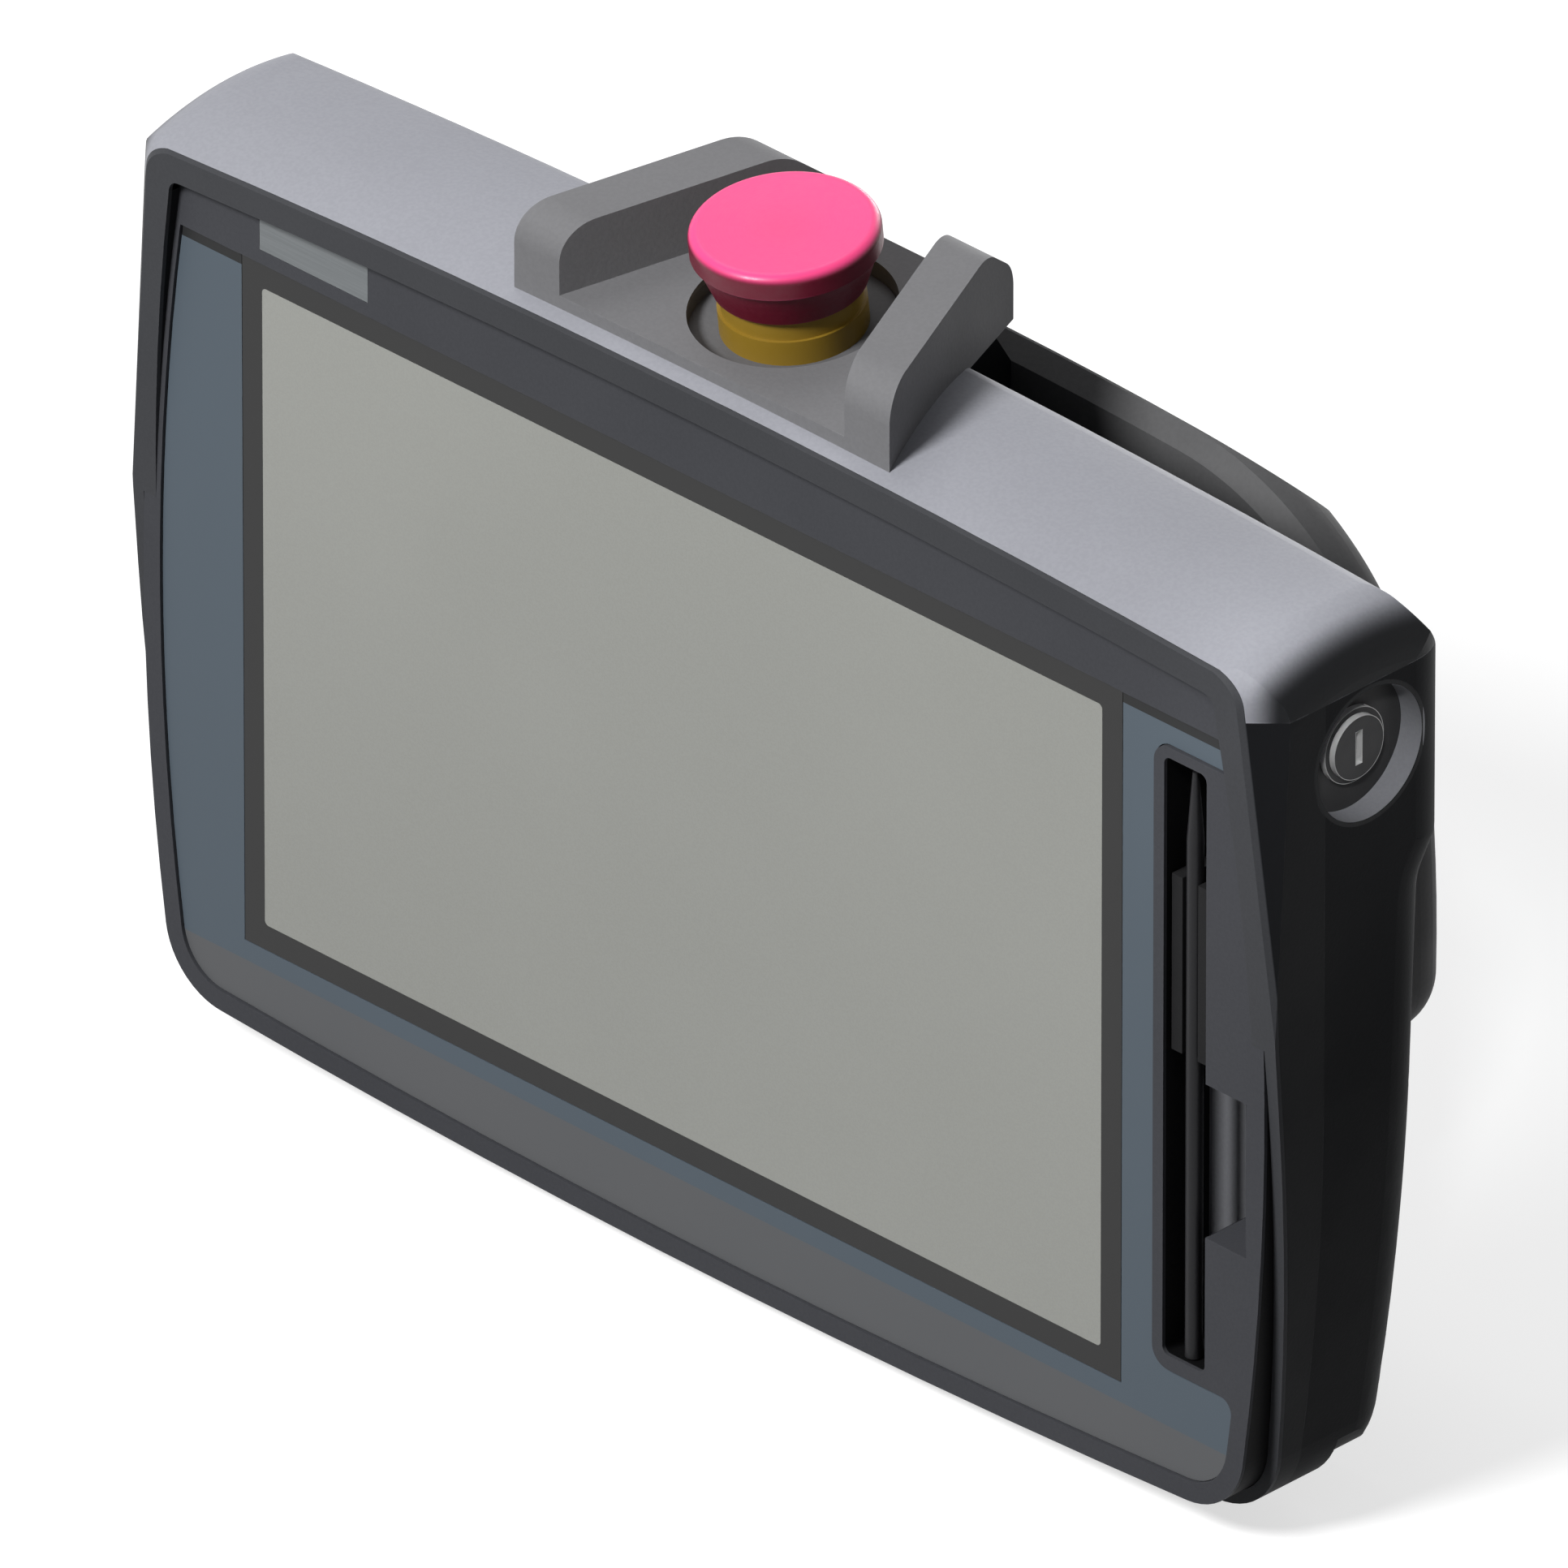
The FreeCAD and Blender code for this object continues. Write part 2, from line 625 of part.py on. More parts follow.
def glass_box(y_span, margin=0.0):
    return box(centred(DISPLAY_X, GLASS_WIDTH + 2 * margin), y_span, centred(DISPLAY_Z, GLASS_HEIGHT + 2 * margin))


def housing_screw_places():
    return [(side * x, z) for x, z in HOUSING_SCREWS for side in SIDES]


def outer_frame(shell):
    """The dark rim: a deep frame with a leaning front lip, open behind the front plate."""
    everywhere = (-BEYOND, BEYOND)
    ring = shell.common(box(everywhere, (-BEYOND, FRAME_DEPTH), everywhere))
    above = box(everywhere, everywhere, (SPLIT_Z, BEYOND))
    ring = ring.cut(above).fuse(ring.common(above).common(leaning_slab(FLANGE_THICKNESS)))
    through = (-BEYOND / 10, FRAME_DEPTH + 1)
    ring = ring.cut(front_outline(RIM_WIDTH, through))
    ring = ring.cut(front_outline(PLATE_INSET, (PLATE_FACE_Y, through[1])))
    ears = []
    for x, z in housing_screw_places():
        ears.append(rod_y(BOSS_RADIUS, x, z, EAR_FRONT_Y, FRAME_DEPTH))
        if z < SIDE_CENTRE_Z / 2:
            foot_z = BOTTOM_RADIUS - math.sqrt(BOTTOM_RADIUS ** 2 - x ** 2) + PLATE_INSET / 2
            ears.append(box(centred(x, BOSS_RADIUS), (EAR_FRONT_Y, FRAME_DEPTH), (foot_z, z)))
    ring = joined([ring] + ears)
    for x, z in housing_screw_places():
        ring = ring.cut(rod_y(HOUSING_SCREW_RADIUS, x, z, HOUSING_SCREW_TIP_Y, FRAME_DEPTH + 1))
    return ring.cut(key_rod(KEY_RECESS_RADIUS + KEY_LINER_WALL, -KEY_BODY_LENGTH, WALL))


def film_area(y_span, margin=0.0):
    """The printed film's outline: the arched front without the top band and the bay of the stylus."""
    area = front_outline(FILM_INSET - margin, y_span)
    area = area.cut(box((-BEYOND, BEYOND), (-BEYOND, BEYOND), (FILM_TOP_Z + margin, BEYOND)))
    bay = box((BAY_X + margin, BEYOND), (-BEYOND / 10, BEYOND / 10), (BAY_LOW_Z + margin, BAY_HIGH_Z - margin))
    bay = bay.makeFillet(BAY_CORNER, edges_along(bay, Y_AXIS, lambda centre: centre.x < BAY_X + 1))
    area = area.cut(bay)
    below_bay = edges_along(area, Y_AXIS, lambda centre: centre.x > BAY_X + SLOT_WIDTH
                            and abs(centre.z - BAY_LOW_Z - margin) < 0.01)
    return area.makeFillet(FILM_CORNER, below_bay)


def front_plate():
    """The front plate: a skirt that enters the frame, the film's recess, the window and the stylus tub."""
    edge = PLATE_INSET + FIT
    plate = front_outline(edge, (PLATE_FACE_Y, SKIRT_BACK_Y))
    plate = plate.cut(front_outline(edge + SKIRT_WALL, (PLATE_BACK_Y, SKIRT_BACK_Y + 1)))
    tub_back = SLOT_FLOOR_Y + TUB_WALL
    tub = box((SLOT_X - TUB_WALL, SLOT_RIGHT_X + TUB_WALL), (PLATE_FACE_Y, tub_back),
              (SLOT_LOW_Z - TUB_WALL, SLOT_HIGH_Z + TUB_WALL))
    notch_tub = plan_view([(SLOT_RIGHT_X, PLATE_FACE_Y), (SLOT_RIGHT_X + NOTCH_WIDTH + 2 * TUB_WALL, PLATE_FACE_Y),
                           (SLOT_RIGHT_X + NOTCH_WIDTH + 2 * TUB_WALL, PLATE_BACK_Y), (SLOT_RIGHT_X, tub_back)],
                          (NOTCH_LOW_Z - TUB_WALL, NOTCH_HIGH_Z + TUB_WALL))
    plate = joined([plate, tub, notch_tub])
    slot = box((SLOT_X, SLOT_RIGHT_X), (-BEYOND, SLOT_FLOOR_Y), (SLOT_LOW_Z, SLOT_HIGH_Z))
    slot = slot.makeFillet(TUB_WALL, edges_along(slot, Y_AXIS, lambda centre: True))
    notch = plan_view([(SLOT_RIGHT_X - 1, PLATE_FACE_Y - 1), (SLOT_RIGHT_X + NOTCH_WIDTH + 1, PLATE_FACE_Y - 1),
                       (SLOT_RIGHT_X - 1, PLATE_FACE_Y + NOTCH_WIDTH + 1)], (NOTCH_LOW_Z, NOTCH_HIGH_Z))
    label = box(centred(LABEL_X, LABEL_WIDTH), (PLATE_FACE_Y - 1, PLATE_FACE_Y + LABEL_THICKNESS),
                centred(LABEL_Z, LABEL_HEIGHT))
    for cut in (slot, notch, label, film_area((PLATE_FACE_Y - 1, FILM_THICKNESS), FIT),
                glass_box((-BEYOND, BEYOND), FIT)):
        plate = plate.cut(cut)
    return plate


def front_film():
    return film_area((0, FILM_THICKNESS)).cut(glass_box((-1, 1), FIT))


def blank_label():
    return box(centred(LABEL_X, LABEL_WIDTH - FIT), (PLATE_FACE_Y, PLATE_FACE_Y + LABEL_THICKNESS),
               centred(LABEL_Z, LABEL_HEIGHT - FIT))


def touch_screen():
    return glass_box((0, GLASS_THICKNESS))


def display_gasket():
    ring = glass_box((GLASS_THICKNESS, LCD_FRONT_Y))
    return ring.cut(glass_box((0, BEYOND), -GASKET_WIDTH))


def lcd_box(y_span, margin=0.0):
    grow = LCD_OVERHANG + margin
    return box(centred(DISPLAY_X, DISPLAY_WIDTH + 2 * grow), y_span, centred(DISPLAY_Z, DISPLAY_HEIGHT + 2 * grow))


def lcd_module():
    return lcd_box((LCD_FRONT_Y, LCD_BACK_Y))


def lcd_bracket():
    """A sheet-metal tray that holds the display against the front plate."""
    tray = lcd_box((PLATE_BACK_Y, BRACKET_BACK_Y), FIT + BRACKET_WALL)
    return tray.cut(lcd_box((0, LCD_BACK_Y), FIT))


def board_corners():
    xs = [side * (BOARD_WIDTH / 2 - STANDOFF_INSET) for side in SIDES]
    zs = [BOARD_LOW_Z + STANDOFF_INSET, BOARD_LOW_Z + BOARD_HEIGHT - STANDOFF_INSET]
    return [(x, z) for x in xs for z in zs]


def main_board():
    board = box(centred(0, BOARD_WIDTH), (BOARD_Y, BOARD_Y + BOARD_THICKNESS),
                (BOARD_LOW_Z, BOARD_LOW_Z + BOARD_HEIGHT))
    for x, z in board_corners():
        board = board.cut(rod_y(BOARD_SCREW_RADIUS, x, z, BOARD_Y - 1, BOARD_Y + BOARD_THICKNESS + 1))
    return board


def board_chips():
    """The processor under its heat spreader, a memory module and two connectors."""
    top = BOARD_Y + BOARD_THICKNESS
    chips = []
    for (width, height, depth), across, up in ((PROCESSOR, -0.15, 0.55), (MEMORY, 0.13, 0.58),
                                               (SOCKET, -0.32, 0.2), (SOCKET, 0.3, 0.16)):
        middle_x, middle_z = BOARD_WIDTH * across, BOARD_LOW_Z + BOARD_HEIGHT * up
        chips.append(box(centred(middle_x, width), (top, top + depth), centred(middle_z, height)))
    return Part.makeCompound(chips)


def board_standoffs():
    tubes = [rod_y(STANDOFF_RADIUS, x, z, BRACKET_BACK_Y, BOARD_Y)
             .cut(rod_y(BOARD_SCREW_RADIUS, x, z, BRACKET_BACK_Y - 1, BOARD_Y + 1)) for x, z in board_corners()]
    return Part.makeCompound(tubes)


def board_screws():
    top = BOARD_Y + BOARD_THICKNESS
    screws = [rod_y(BOARD_SCREW_RADIUS, x, z, BRACKET_BACK_Y + 1, top)
              .fuse(rod_y(2 * BOARD_SCREW_RADIUS, x, z, top, top + BOARD_SCREW_HEAD)) for x, z in board_corners()]
    return Part.makeCompound(screws)


def stylus():
    foot_z = SLOT_LOW_Z
    shaft_top = Vector(STYLUS_X, STYLUS_Y, foot_z + STYLUS_LENGTH - STYLUS_CONE)
    shaft = rod(STYLUS_RADIUS, Vector(STYLUS_X, STYLUS_Y, foot_z + STYLUS_GAP), shaft_top)
    tip = Part.makeCone(STYLUS_RADIUS, STYLUS_TIP_RADIUS, STYLUS_CONE, shaft_top, Z_AXIS)
    return joined([shaft, tip])


def stylus_clips():
    """Two soft ribs that hold the stylus, on a strip in the floor of the slot."""
    heights = (CLIP_LOW_Z, CLIP_HIGH_Z)
    reach = STYLUS_RADIUS + STYLUS_GAP
    ribs = [box(sorted((STYLUS_X + side * reach, STYLUS_X + side * (reach + CLIP_WALL))),
                (CLIP_FRONT_Y, SLOT_FLOOR_Y), heights) for side in SIDES]
    strip = box(centred(STYLUS_X, 2 * (reach + CLIP_WALL)), (SLOT_FLOOR_Y - CLIP_BASE, SLOT_FLOOR_Y), heights)
    return joined([strip] + ribs)


def stop_seat(shell):
    """The sunk round seat of the emergency stop, which also floors the guard's hole behind the ridge."""
    low = STOP_SEAT_Z - WALL
    rim = stop_rod(GUARD_HOLE_RADIUS + WALL, low, STOP_SEAT_Z).common(shell)
    return rim.fuse(stop_rod(GUARD_HOLE_RADIUS - FIT, low, STOP_SEAT_Z))


def top_shell(shell, hollow, seat):
    """The light grey cap: the crowned top with its rolled ends, behind the frame's flange."""
    everywhere = (-BEYOND, BEYOND)
    cap = shell.common(box(everywhere, everywhere, (SPLIT_Z, BEYOND))).cut(leaning_slab(FLANGE_THICKNESS))
    cap = cap.cut(hollow).cut(front_outline(PLATE_INSET, (-BEYOND / 10, FRAME_DEPTH)))
    cap = joined([cap.cut(stop_rod(GUARD_HOLE_RADIUS, STOP_SEAT_Z, BEYOND / 10)), seat])
    return cap.cut(stop_rod(BARREL_BODY_RADIUS + FIT, -BEYOND / 4, BEYOND / 4))


def cover_screw_places():
    x = COVER_HALF_WIDTH - COVER_SCREW_INSET
    return [(side * x, z) for z in (COVER_SCREW_LOW_Z, COVER_HEIGHT - COVER_SCREW_INSET) for side in SIDES]


def stepped_up(solid, start_y, lift):
    """The solid with its foot raised behind a depth."""
    below = box((-BEYOND, BEYOND), (start_y, BEYOND), (-BEYOND, SIDE_CENTRE_Z)).cut(side_prism(-1, lift + 1))
    return solid.cut(below)


def rear_shell(shell, hollow):
    """The dark rear half, stepped up a little at the foot, with bosses for the screws and two handle posts."""
    everywhere = (-BEYOND, BEYOND)
    zone = box(everywhere, (FRAME_DEPTH, BEYOND), (-BEYOND, SPLIT_Z))
    outside = stepped_up(shell.common(zone), REAR_STEP_Y, REAR_LIFT)
    inside = stepped_up(hollow, REAR_STEP_Y - WALL, REAR_LIFT + WALL)
    walls = outside.cut(inside)
    bosses = [rod_y(BOSS_RADIUS, x, z, FRAME_DEPTH, BEYOND) for x, z in housing_screw_places()]
    bosses += [rod_y(COVER_POST_RADIUS, x, z, COVER_SCREW_TIP_Y, BEYOND) for x, z in cover_screw_places()]
    bosses = [boss.common(outside) for boss in bosses]
    posts = [rod_y(POST_RADIUS, side * POST_X, POST_Z, FOOT_BACK_Y, HANDLE_FRONT_Y).cut(inside) for side in SIDES]
    walls = joined([walls] + bosses + posts)
    for x, z in housing_screw_places():
        walls = walls.cut(rod_y(HOUSING_SCREW_RADIUS, x, z, 0, BEYOND))
        walls = walls.cut(rod_y(HOUSING_SCREW_HEAD + FIT, x, z, housing_seat_y(z), BEYOND))
    for x, z in cover_screw_places():
        walls = walls.cut(rod_y(COVER_SCREW_RADIUS, x, z, COVER_SCREW_TIP_Y - 1, BEYOND))
    for side in SIDES:
        walls = walls.cut(rod_y(HANDLE_SCREW_RADIUS, side * POST_X, POST_Z, HANDLE_SCREW_TIP_Y, BEYOND))
    passage = box(centred(0, PASSAGE_WIDTH), (0, BEYOND), (PASSAGE_LOW_Z, PASSAGE_HIGH_Z))
    return walls.cut(passage).cut(key_rod(KEY_RECESS_RADIUS + KEY_LINER_WALL, -KEY_BODY_LENGTH, WALL))


def back_y(z):
    """Depth of the lower back at a height."""
    taper = (LOWER_BACK_Y - FOOT_BACK_Y) / (SHOULDER_Z - SHOULDER_DROP)
    return FOOT_BACK_Y + taper * z


def housing_seat_y(z):
    return back_y(z) - HOUSING_SCREW_SEAT


def housing_screws():
    screws = []
    for x, z in housing_screw_places():
        seat = housing_seat_y(z)
        shank = rod_y(HOUSING_SCREW_RADIUS, x, z, HOUSING_SCREW_TIP_Y, seat)
        screws.append(shank.fuse(rod_y(HOUSING_SCREW_HEAD, x, z, seat, seat + HOUSING_SCREW_HEAD_DEPTH)))
    return Part.makeCompound(screws)


def estop_guard(shell):
    """The guard: two arms that close in towards the back, on a sloping base with a hole for the button."""
    rear_y = GUARD_ARM_REAR[0]
    low = GUARD_FLOOR_Z - ROLL_RADIUS
    corners = [((GUARD_FRONT_Y, low), 0), ((GUARD_FRONT_Y, GUARD_ARM_FRONT_Z), GUARD_ARM_ROUNDS[0]),
               (GUARD_ARM_PEAK, GUARD_ARM_ROUNDS[1]), (GUARD_ARM_REAR, GUARD_ARM_ROUNDS[2]), ((rear_y, low), 0)]
    outline = rounded_outline([(Vector(-BEYOND, y, z), radius) for (y, z), radius in corners])
    profile = Part.Face(outline).extrude(X_AXIS * 2 * BEYOND)

    def half_width(y):
        return GUARD_HALF_WIDTH - GUARD_TAPER * (y - GUARD_FRONT_Y)

    pieces = []
    for side in SIDES:
        plan = [(side * half_width(GUARD_FRONT_Y), GUARD_FRONT_Y), (side * half_width(rear_y), rear_y),
                (side * (half_width(rear_y) - GUARD_ARM), rear_y),
                (side * (half_width(GUARD_FRONT_Y) - GUARD_ARM), GUARD_FRONT_Y)]
        pieces.append(profile.common(plan_view(plan, (low, BEYOND))))
    base_plan = [(side * half_width(y), y) for side, y in ((-1, GUARD_FRONT_Y), (1, GUARD_FRONT_Y),
                                                           (1, GUARD_BASE_Y), (-1, GUARD_BASE_Y))]
    base_rise = GUARD_BASE_SLOPE * GUARD_BASE_Y
    base = plan_view(base_plan, (low, BEYOND)).common(side_view(
        [(GUARD_FRONT_Y, low), (GUARD_FRONT_Y, GUARD_BASE_Z), (GUARD_BASE_Y, GUARD_BASE_Z + base_rise),
         (GUARD_BASE_Y, low)], (-BEYOND, BEYOND)))
    pieces.append(base.cut(stop_rod(GUARD_HOLE_RADIUS, -BEYOND / 10, BEYOND / 10)))
    under = side_view([(GUARD_FRONT_Y - 1, low - 1), (GUARD_FRONT_Y - 1, GUARD_FLOOR_Z), (RIDGE_Y, NECK_TOP_Z),
                       (rear_y + 1, NECK_TOP_Z), (rear_y + 1, low - 1)], (-BEYOND, BEYOND))
    return joined(pieces).cut(under).cut(shell)


def estop_collar():
    """The yellow collar under the cap, with a narrower sleeve that the cap comes down over."""
    body = turned([(BARREL_BODY_RADIUS + RUNNING, STOP_SEAT_Z), (COLLAR_RADIUS, STOP_SEAT_Z),
                   (COLLAR_RADIUS, COLLAR_STEP_Z), (COLLAR_SLEEVE_RADIUS, COLLAR_STEP_Z),
                   (COLLAR_SLEEVE_RADIUS, COLLAR_TOP_Z), (COLLAR_SLEEVE_BORE, COLLAR_TOP_Z),
                   (COLLAR_SLEEVE_BORE, BARREL_TOP_Z), (BARREL_BODY_RADIUS + RUNNING, BARREL_TOP_Z)])
    return on_stop_axis(body)


def estop_barrel():
    barrel = turned([(PLUNGER_RADIUS + RUNNING, BARREL_LOW_Z), (BARREL_BODY_RADIUS, BARREL_LOW_Z),
                     (BARREL_BODY_RADIUS, BARREL_TOP_Z), (PLUNGER_RADIUS + RUNNING, BARREL_TOP_Z)])
    return on_stop_axis(barrel)


def estop_lock_nut(hollow):
    ring = stop_rod(STOP_NUT_RADIUS, STOP_NUT_LOW_Z, STOP_SEAT_Z - WALL).common(hollow)
    return ring.cut(stop_rod(BARREL_BODY_RADIUS, -BEYOND / 10, BEYOND / 10))


def estop_plunger():
    return stop_rod(PLUNGER_RADIUS, PLUNGER_LOW_Z, PLUNGER_TOP_Z)


def estop_cap():
    """The mushroom cap: a conical skirt, a straight band, a rounded edge and a slightly dished top."""
    edge_z = CAP_HEIGHT - CAP_EDGE_ROUND
    bore = PLUNGER_RADIUS + RUNNING
    rim = CAP_RADIUS - CAP_EDGE_ROUND
    outline = [Vector(r, 0, z) for r, z in (
        (CAP_BORE, CAP_SKIRT_Z), (CAP_SKIRT_RADIUS, CAP_SKIRT_Z), (CAP_RADIUS - 0.6, CAP_BAND_LOW),
        (CAP_RADIUS, CAP_BAND_LOW), (CAP_RADIUS, edge_z))]
    round_middle = Vector(rim + CAP_EDGE_ROUND * math.sin(math.pi / 4), 0,
                          edge_z + CAP_EDGE_ROUND * math.cos(math.pi / 4))
    round_end = Vector(rim, 0, CAP_HEIGHT)
    inner = [Vector(r, 0, z) for r, z in (
        (0, CAP_HEIGHT - CAP_DISH), (0, PLUNGER_TOP_Z + FIT), (bore, PLUNGER_TOP_Z + FIT), (bore, CAP_BOSS_Z),
        (CAP_BOSS_RADIUS, CAP_BOSS_Z), (CAP_BOSS_RADIUS, CAP_CEILING_Z), (CAP_BORE, CAP_CEILING_Z),
        (CAP_BORE, CAP_SKIRT_Z))]
    dish_radius = (rim ** 2 + CAP_DISH ** 2) / (2 * CAP_DISH)
    dish_rise = dish_radius - math.sqrt(dish_radius ** 2 - rim ** 2 / 4)
    dish_middle = Vector(rim / 2, 0, CAP_HEIGHT - CAP_DISH + dish_rise)
    edges = [Part.makeLine(a, b) for a, b in zip(outline, outline[1:])]
    edges += [arc(outline[-1], round_middle, round_end), arc(round_end, dish_middle, inner[0])]
    edges += [Part.makeLine(a, b) for a, b in zip(inner, inner[1:])]
    return on_stop_axis(Part.Face(Part.Wire(edges)).revolve(Vector(), Z_AXIS, 360))


def estop_spring():
    """The return spring's envelope round the plunger, between the barrel and the boss of the cap."""
    bore = PLUNGER_RADIUS + FIT
    tube = turned([(bore, BARREL_TOP_Z), (bore + SPRING_WALL, BARREL_TOP_Z),
                   (bore + SPRING_WALL, CAP_BOSS_Z - RUNNING), (bore, CAP_BOSS_Z - RUNNING)])
    return on_stop_axis(tube)


def estop_contact_block():
    top = BARREL_LOW_Z
    block = box(centred(0, STOP_BLOCK), centred(0, STOP_BLOCK), (top - STOP_BLOCK_LENGTH, top))
    well_depth = BARREL_LOW_Z - PLUNGER_LOW_Z + STOP_TRAVEL + 1
    well = rod(PLUNGER_RADIUS + 1, Z_AXIS * (top - well_depth), Z_AXIS * (top + 1))
    return on_stop_axis(block.cut(well))


def key_rod(radius, x_from_wall, x_to_wall):
    """A rod on the key switch's axis between two depths, counted outwards from the side wall's face."""
    return rod_x(radius, KEY_Y, KEY_Z, HALF_WIDTH + x_from_wall, HALF_WIDTH + x_to_wall)


def key_liner(shell, hollow):
    """The light grey liner of the key's recess, held behind the wall by its flange."""
    outer = KEY_RECESS_RADIUS + KEY_LINER_WALL
    tube = key_rod(outer, -KEY_RECESS_DEPTH, WALL).common(shell)
    flange = key_rod(outer + KEY_LINER_FLANGE, -WALL - KEY_LINER_WALL, -WALL).common(hollow)
    flange = flange.cut(box((0, BEYOND), (-BEYOND, FRAME_DEPTH + FIT), (0, BEYOND)))
    return joined([tube, flange]).cut(key_rod(KEY_RECESS_RADIUS, -KEY_BODY_LENGTH, WALL))


def key_housing():
    """The lock's fixed body: a disc that floors the recess, a raised ring and a barrel inside."""
    floor = -KEY_RECESS_DEPTH
    disc = key_rod(KEY_RECESS_RADIUS + KEY_LINER_WALL, floor - KEY_DISC, floor)
    ring = key_rod(KEY_RING_RADIUS, floor, floor + KEY_RING_HEIGHT)
    body = key_rod(KEY_BODY_RADIUS, floor - KEY_DISC - KEY_BODY_LENGTH, floor - KEY_DISC)
    bore = key_rod(KEY_ROTOR_RADIUS + RUNNING, -BEYOND / 4, WALL)
    return joined([disc, ring, body]).cut(bore)


def key_rotor():
    """The turning plug with its key slot."""
    face = -KEY_RECESS_DEPTH + KEY_ROTOR_HEIGHT
    plug = key_rod(KEY_ROTOR_RADIUS, face - KEY_ROTOR_HEIGHT - KEY_DISC - KEY_BODY_LENGTH, face)
    slot = box((HALF_WIDTH + face - KEY_SLOT_DEPTH, BEYOND), centred(KEY_Y, KEY_SLOT_WIDTH),
               centred(KEY_Z, KEY_SLOT_LENGTH))
    return plug.cut(slot)


def key_lock_nut():
    inner_end = -KEY_RECESS_DEPTH - KEY_DISC
    ring = key_rod(KEY_NUT_RADIUS, inner_end - KEY_NUT_LENGTH, inner_end)
    return ring.cut(key_rod(KEY_BODY_RADIUS, -BEYOND / 4, 0))


def key_contact_block():
    end = HALF_WIDTH - KEY_RECESS_DEPTH - KEY_DISC - KEY_BODY_LENGTH
    return box((end - KEY_BLOCK_LENGTH, end), centred(KEY_Y, KEY_BLOCK), centred(KEY_Z, KEY_BLOCK))


def handle_outline(inset, y_span):
    """The ring handle's outline: an arched top, arched sides and a straight foot."""
    depth = y_span[1] - y_span[0]
    arches = [(side * (HANDLE_HALF_WIDTH - HANDLE_SIDE_RADIUS), HANDLE_SIDE_Z, HANDLE_SIDE_RADIUS) for side in SIDES]
    arches.append((0, HANDLE_TOP_Z - HANDLE_TOP_RADIUS, HANDLE_TOP_RADIUS))
    solid = box((-BEYOND, BEYOND), y_span, (HANDLE_LOW_Z + inset, BEYOND))
    for x, z, radius in arches:
        solid = solid.common(Part.makeCylinder(radius - inset, depth, Vector(x, y_span[0], z), Y_AXIS))
    for corner, keep in ((HANDLE_LOW_CORNER, lambda centre: centre.z < HANDLE_SIDE_Z + inset),
                         (HANDLE_TOP_CORNER, lambda centre: centre.z > HANDLE_SIDE_Z + inset)):
        corner_edges = edges_along(solid, Y_AXIS, lambda centre: abs(centre.x) > HANDLE_BAR and keep(centre))
        solid = solid.makeFillet(max(corner - inset, HANDLE_LOW_CORNER / 2), corner_edges)
    return solid


def handle_fall():
    """The tool that lets the top of the ring fall away towards the back."""
    start = HANDLE_BACK_Y - HANDLE_FALL
    under = Part.makeCone(HANDLE_TOP_RADIUS, HANDLE_TOP_RADIUS - HANDLE_FALL, HANDLE_FALL,
                          Vector(0, start, HANDLE_TOP_Z - HANDLE_TOP_RADIUS), Y_AXIS)
    return box((-BEYOND, BEYOND), (start, HANDLE_BACK_Y), (HANDLE_SIDE_Z, BEYOND)).cut(under)


def handle_screw_places():
    return [(side * x, z) for x, z in ((NECK_SCREW_X, NECK_SCREW_Z), (POST_X, POST_Z)) for side in SIDES]


def lever_slot(side, y_span):
    width = LEVER_WIDTH + 2 * LEVER_GAP
    return box(centred(side * LEVER_X, width), y_span, (LEVER_LOW_Z - LEVER_GAP, LEVER_HIGH_Z + LEVER_TOP_GAP))


def lever_pin(side, radius, reach):
    half = LEVER_WIDTH / 2 + LEVER_GAP + reach
    return rod_x(radius, LEVER_PIN_Y, LEVER_PIN_Z, side * LEVER_X - half, side * LEVER_X + half)


def handle_ring():
    """The whole ring handle, bevelled in front and rounded behind, with a top that falls away to the back."""
    ring = handle_outline(0, (HANDLE_FRONT_Y, HANDLE_BACK_Y))
    front_rim = [edge for edge in ring.Edges if abs(edge.CenterOfMass.y - HANDLE_FRONT_Y) < 0.01]
    ring = ring.makeChamfer(HANDLE_BEVEL, front_rim)
    back_rim = [edge for edge in ring.Edges if abs(edge.CenterOfMass.y - HANDLE_BACK_Y) < 0.01]
    ring = ring.makeFillet(HANDLE_BACK_ROUND, back_rim)
    through = (HANDLE_FRONT_Y - 1, HANDLE_BACK_Y + 1)
    ring = ring.cut(handle_outline(HANDLE_BAR, through))
    middle = handle_outline(HANDLE_BAR - HANDLE_INNER_ROUND, through)
    inner_rim = [edge for edge in ring.Edges if abs(edge.CenterOfMass.y - HANDLE_BACK_Y) < 0.01
                 and middle.isInside(edge.valueAt((edge.FirstParameter + edge.LastParameter) / 2), 0.01, True)]
    return ring.makeFillet(HANDLE_INNER_ROUND, inner_rim).cut(handle_fall())


def handle_frame(ring):
    """The front half of the ring handle, slotted for the enabling levers."""
    everywhere = (-BEYOND, BEYOND)
    ring = ring.common(box(everywhere, (HANDLE_FRONT_Y - 1, HANDLE_SPLIT_Y), everywhere))
    for side in SIDES:
        ring = ring.cut(lever_slot(side, (HANDLE_FRONT_Y - 1, HANDLE_SPLIT_Y + 1)))
        ring = ring.cut(lever_pin(side, LEVER_PIN_RADIUS, LEVER_PIN_REACH))
    for x, z in handle_screw_places():
        ring = ring.cut(rod_y(HANDLE_SCREW_RADIUS, x, z, HANDLE_FRONT_Y - 1, HANDLE_SPLIT_Y + 1))
    return ring


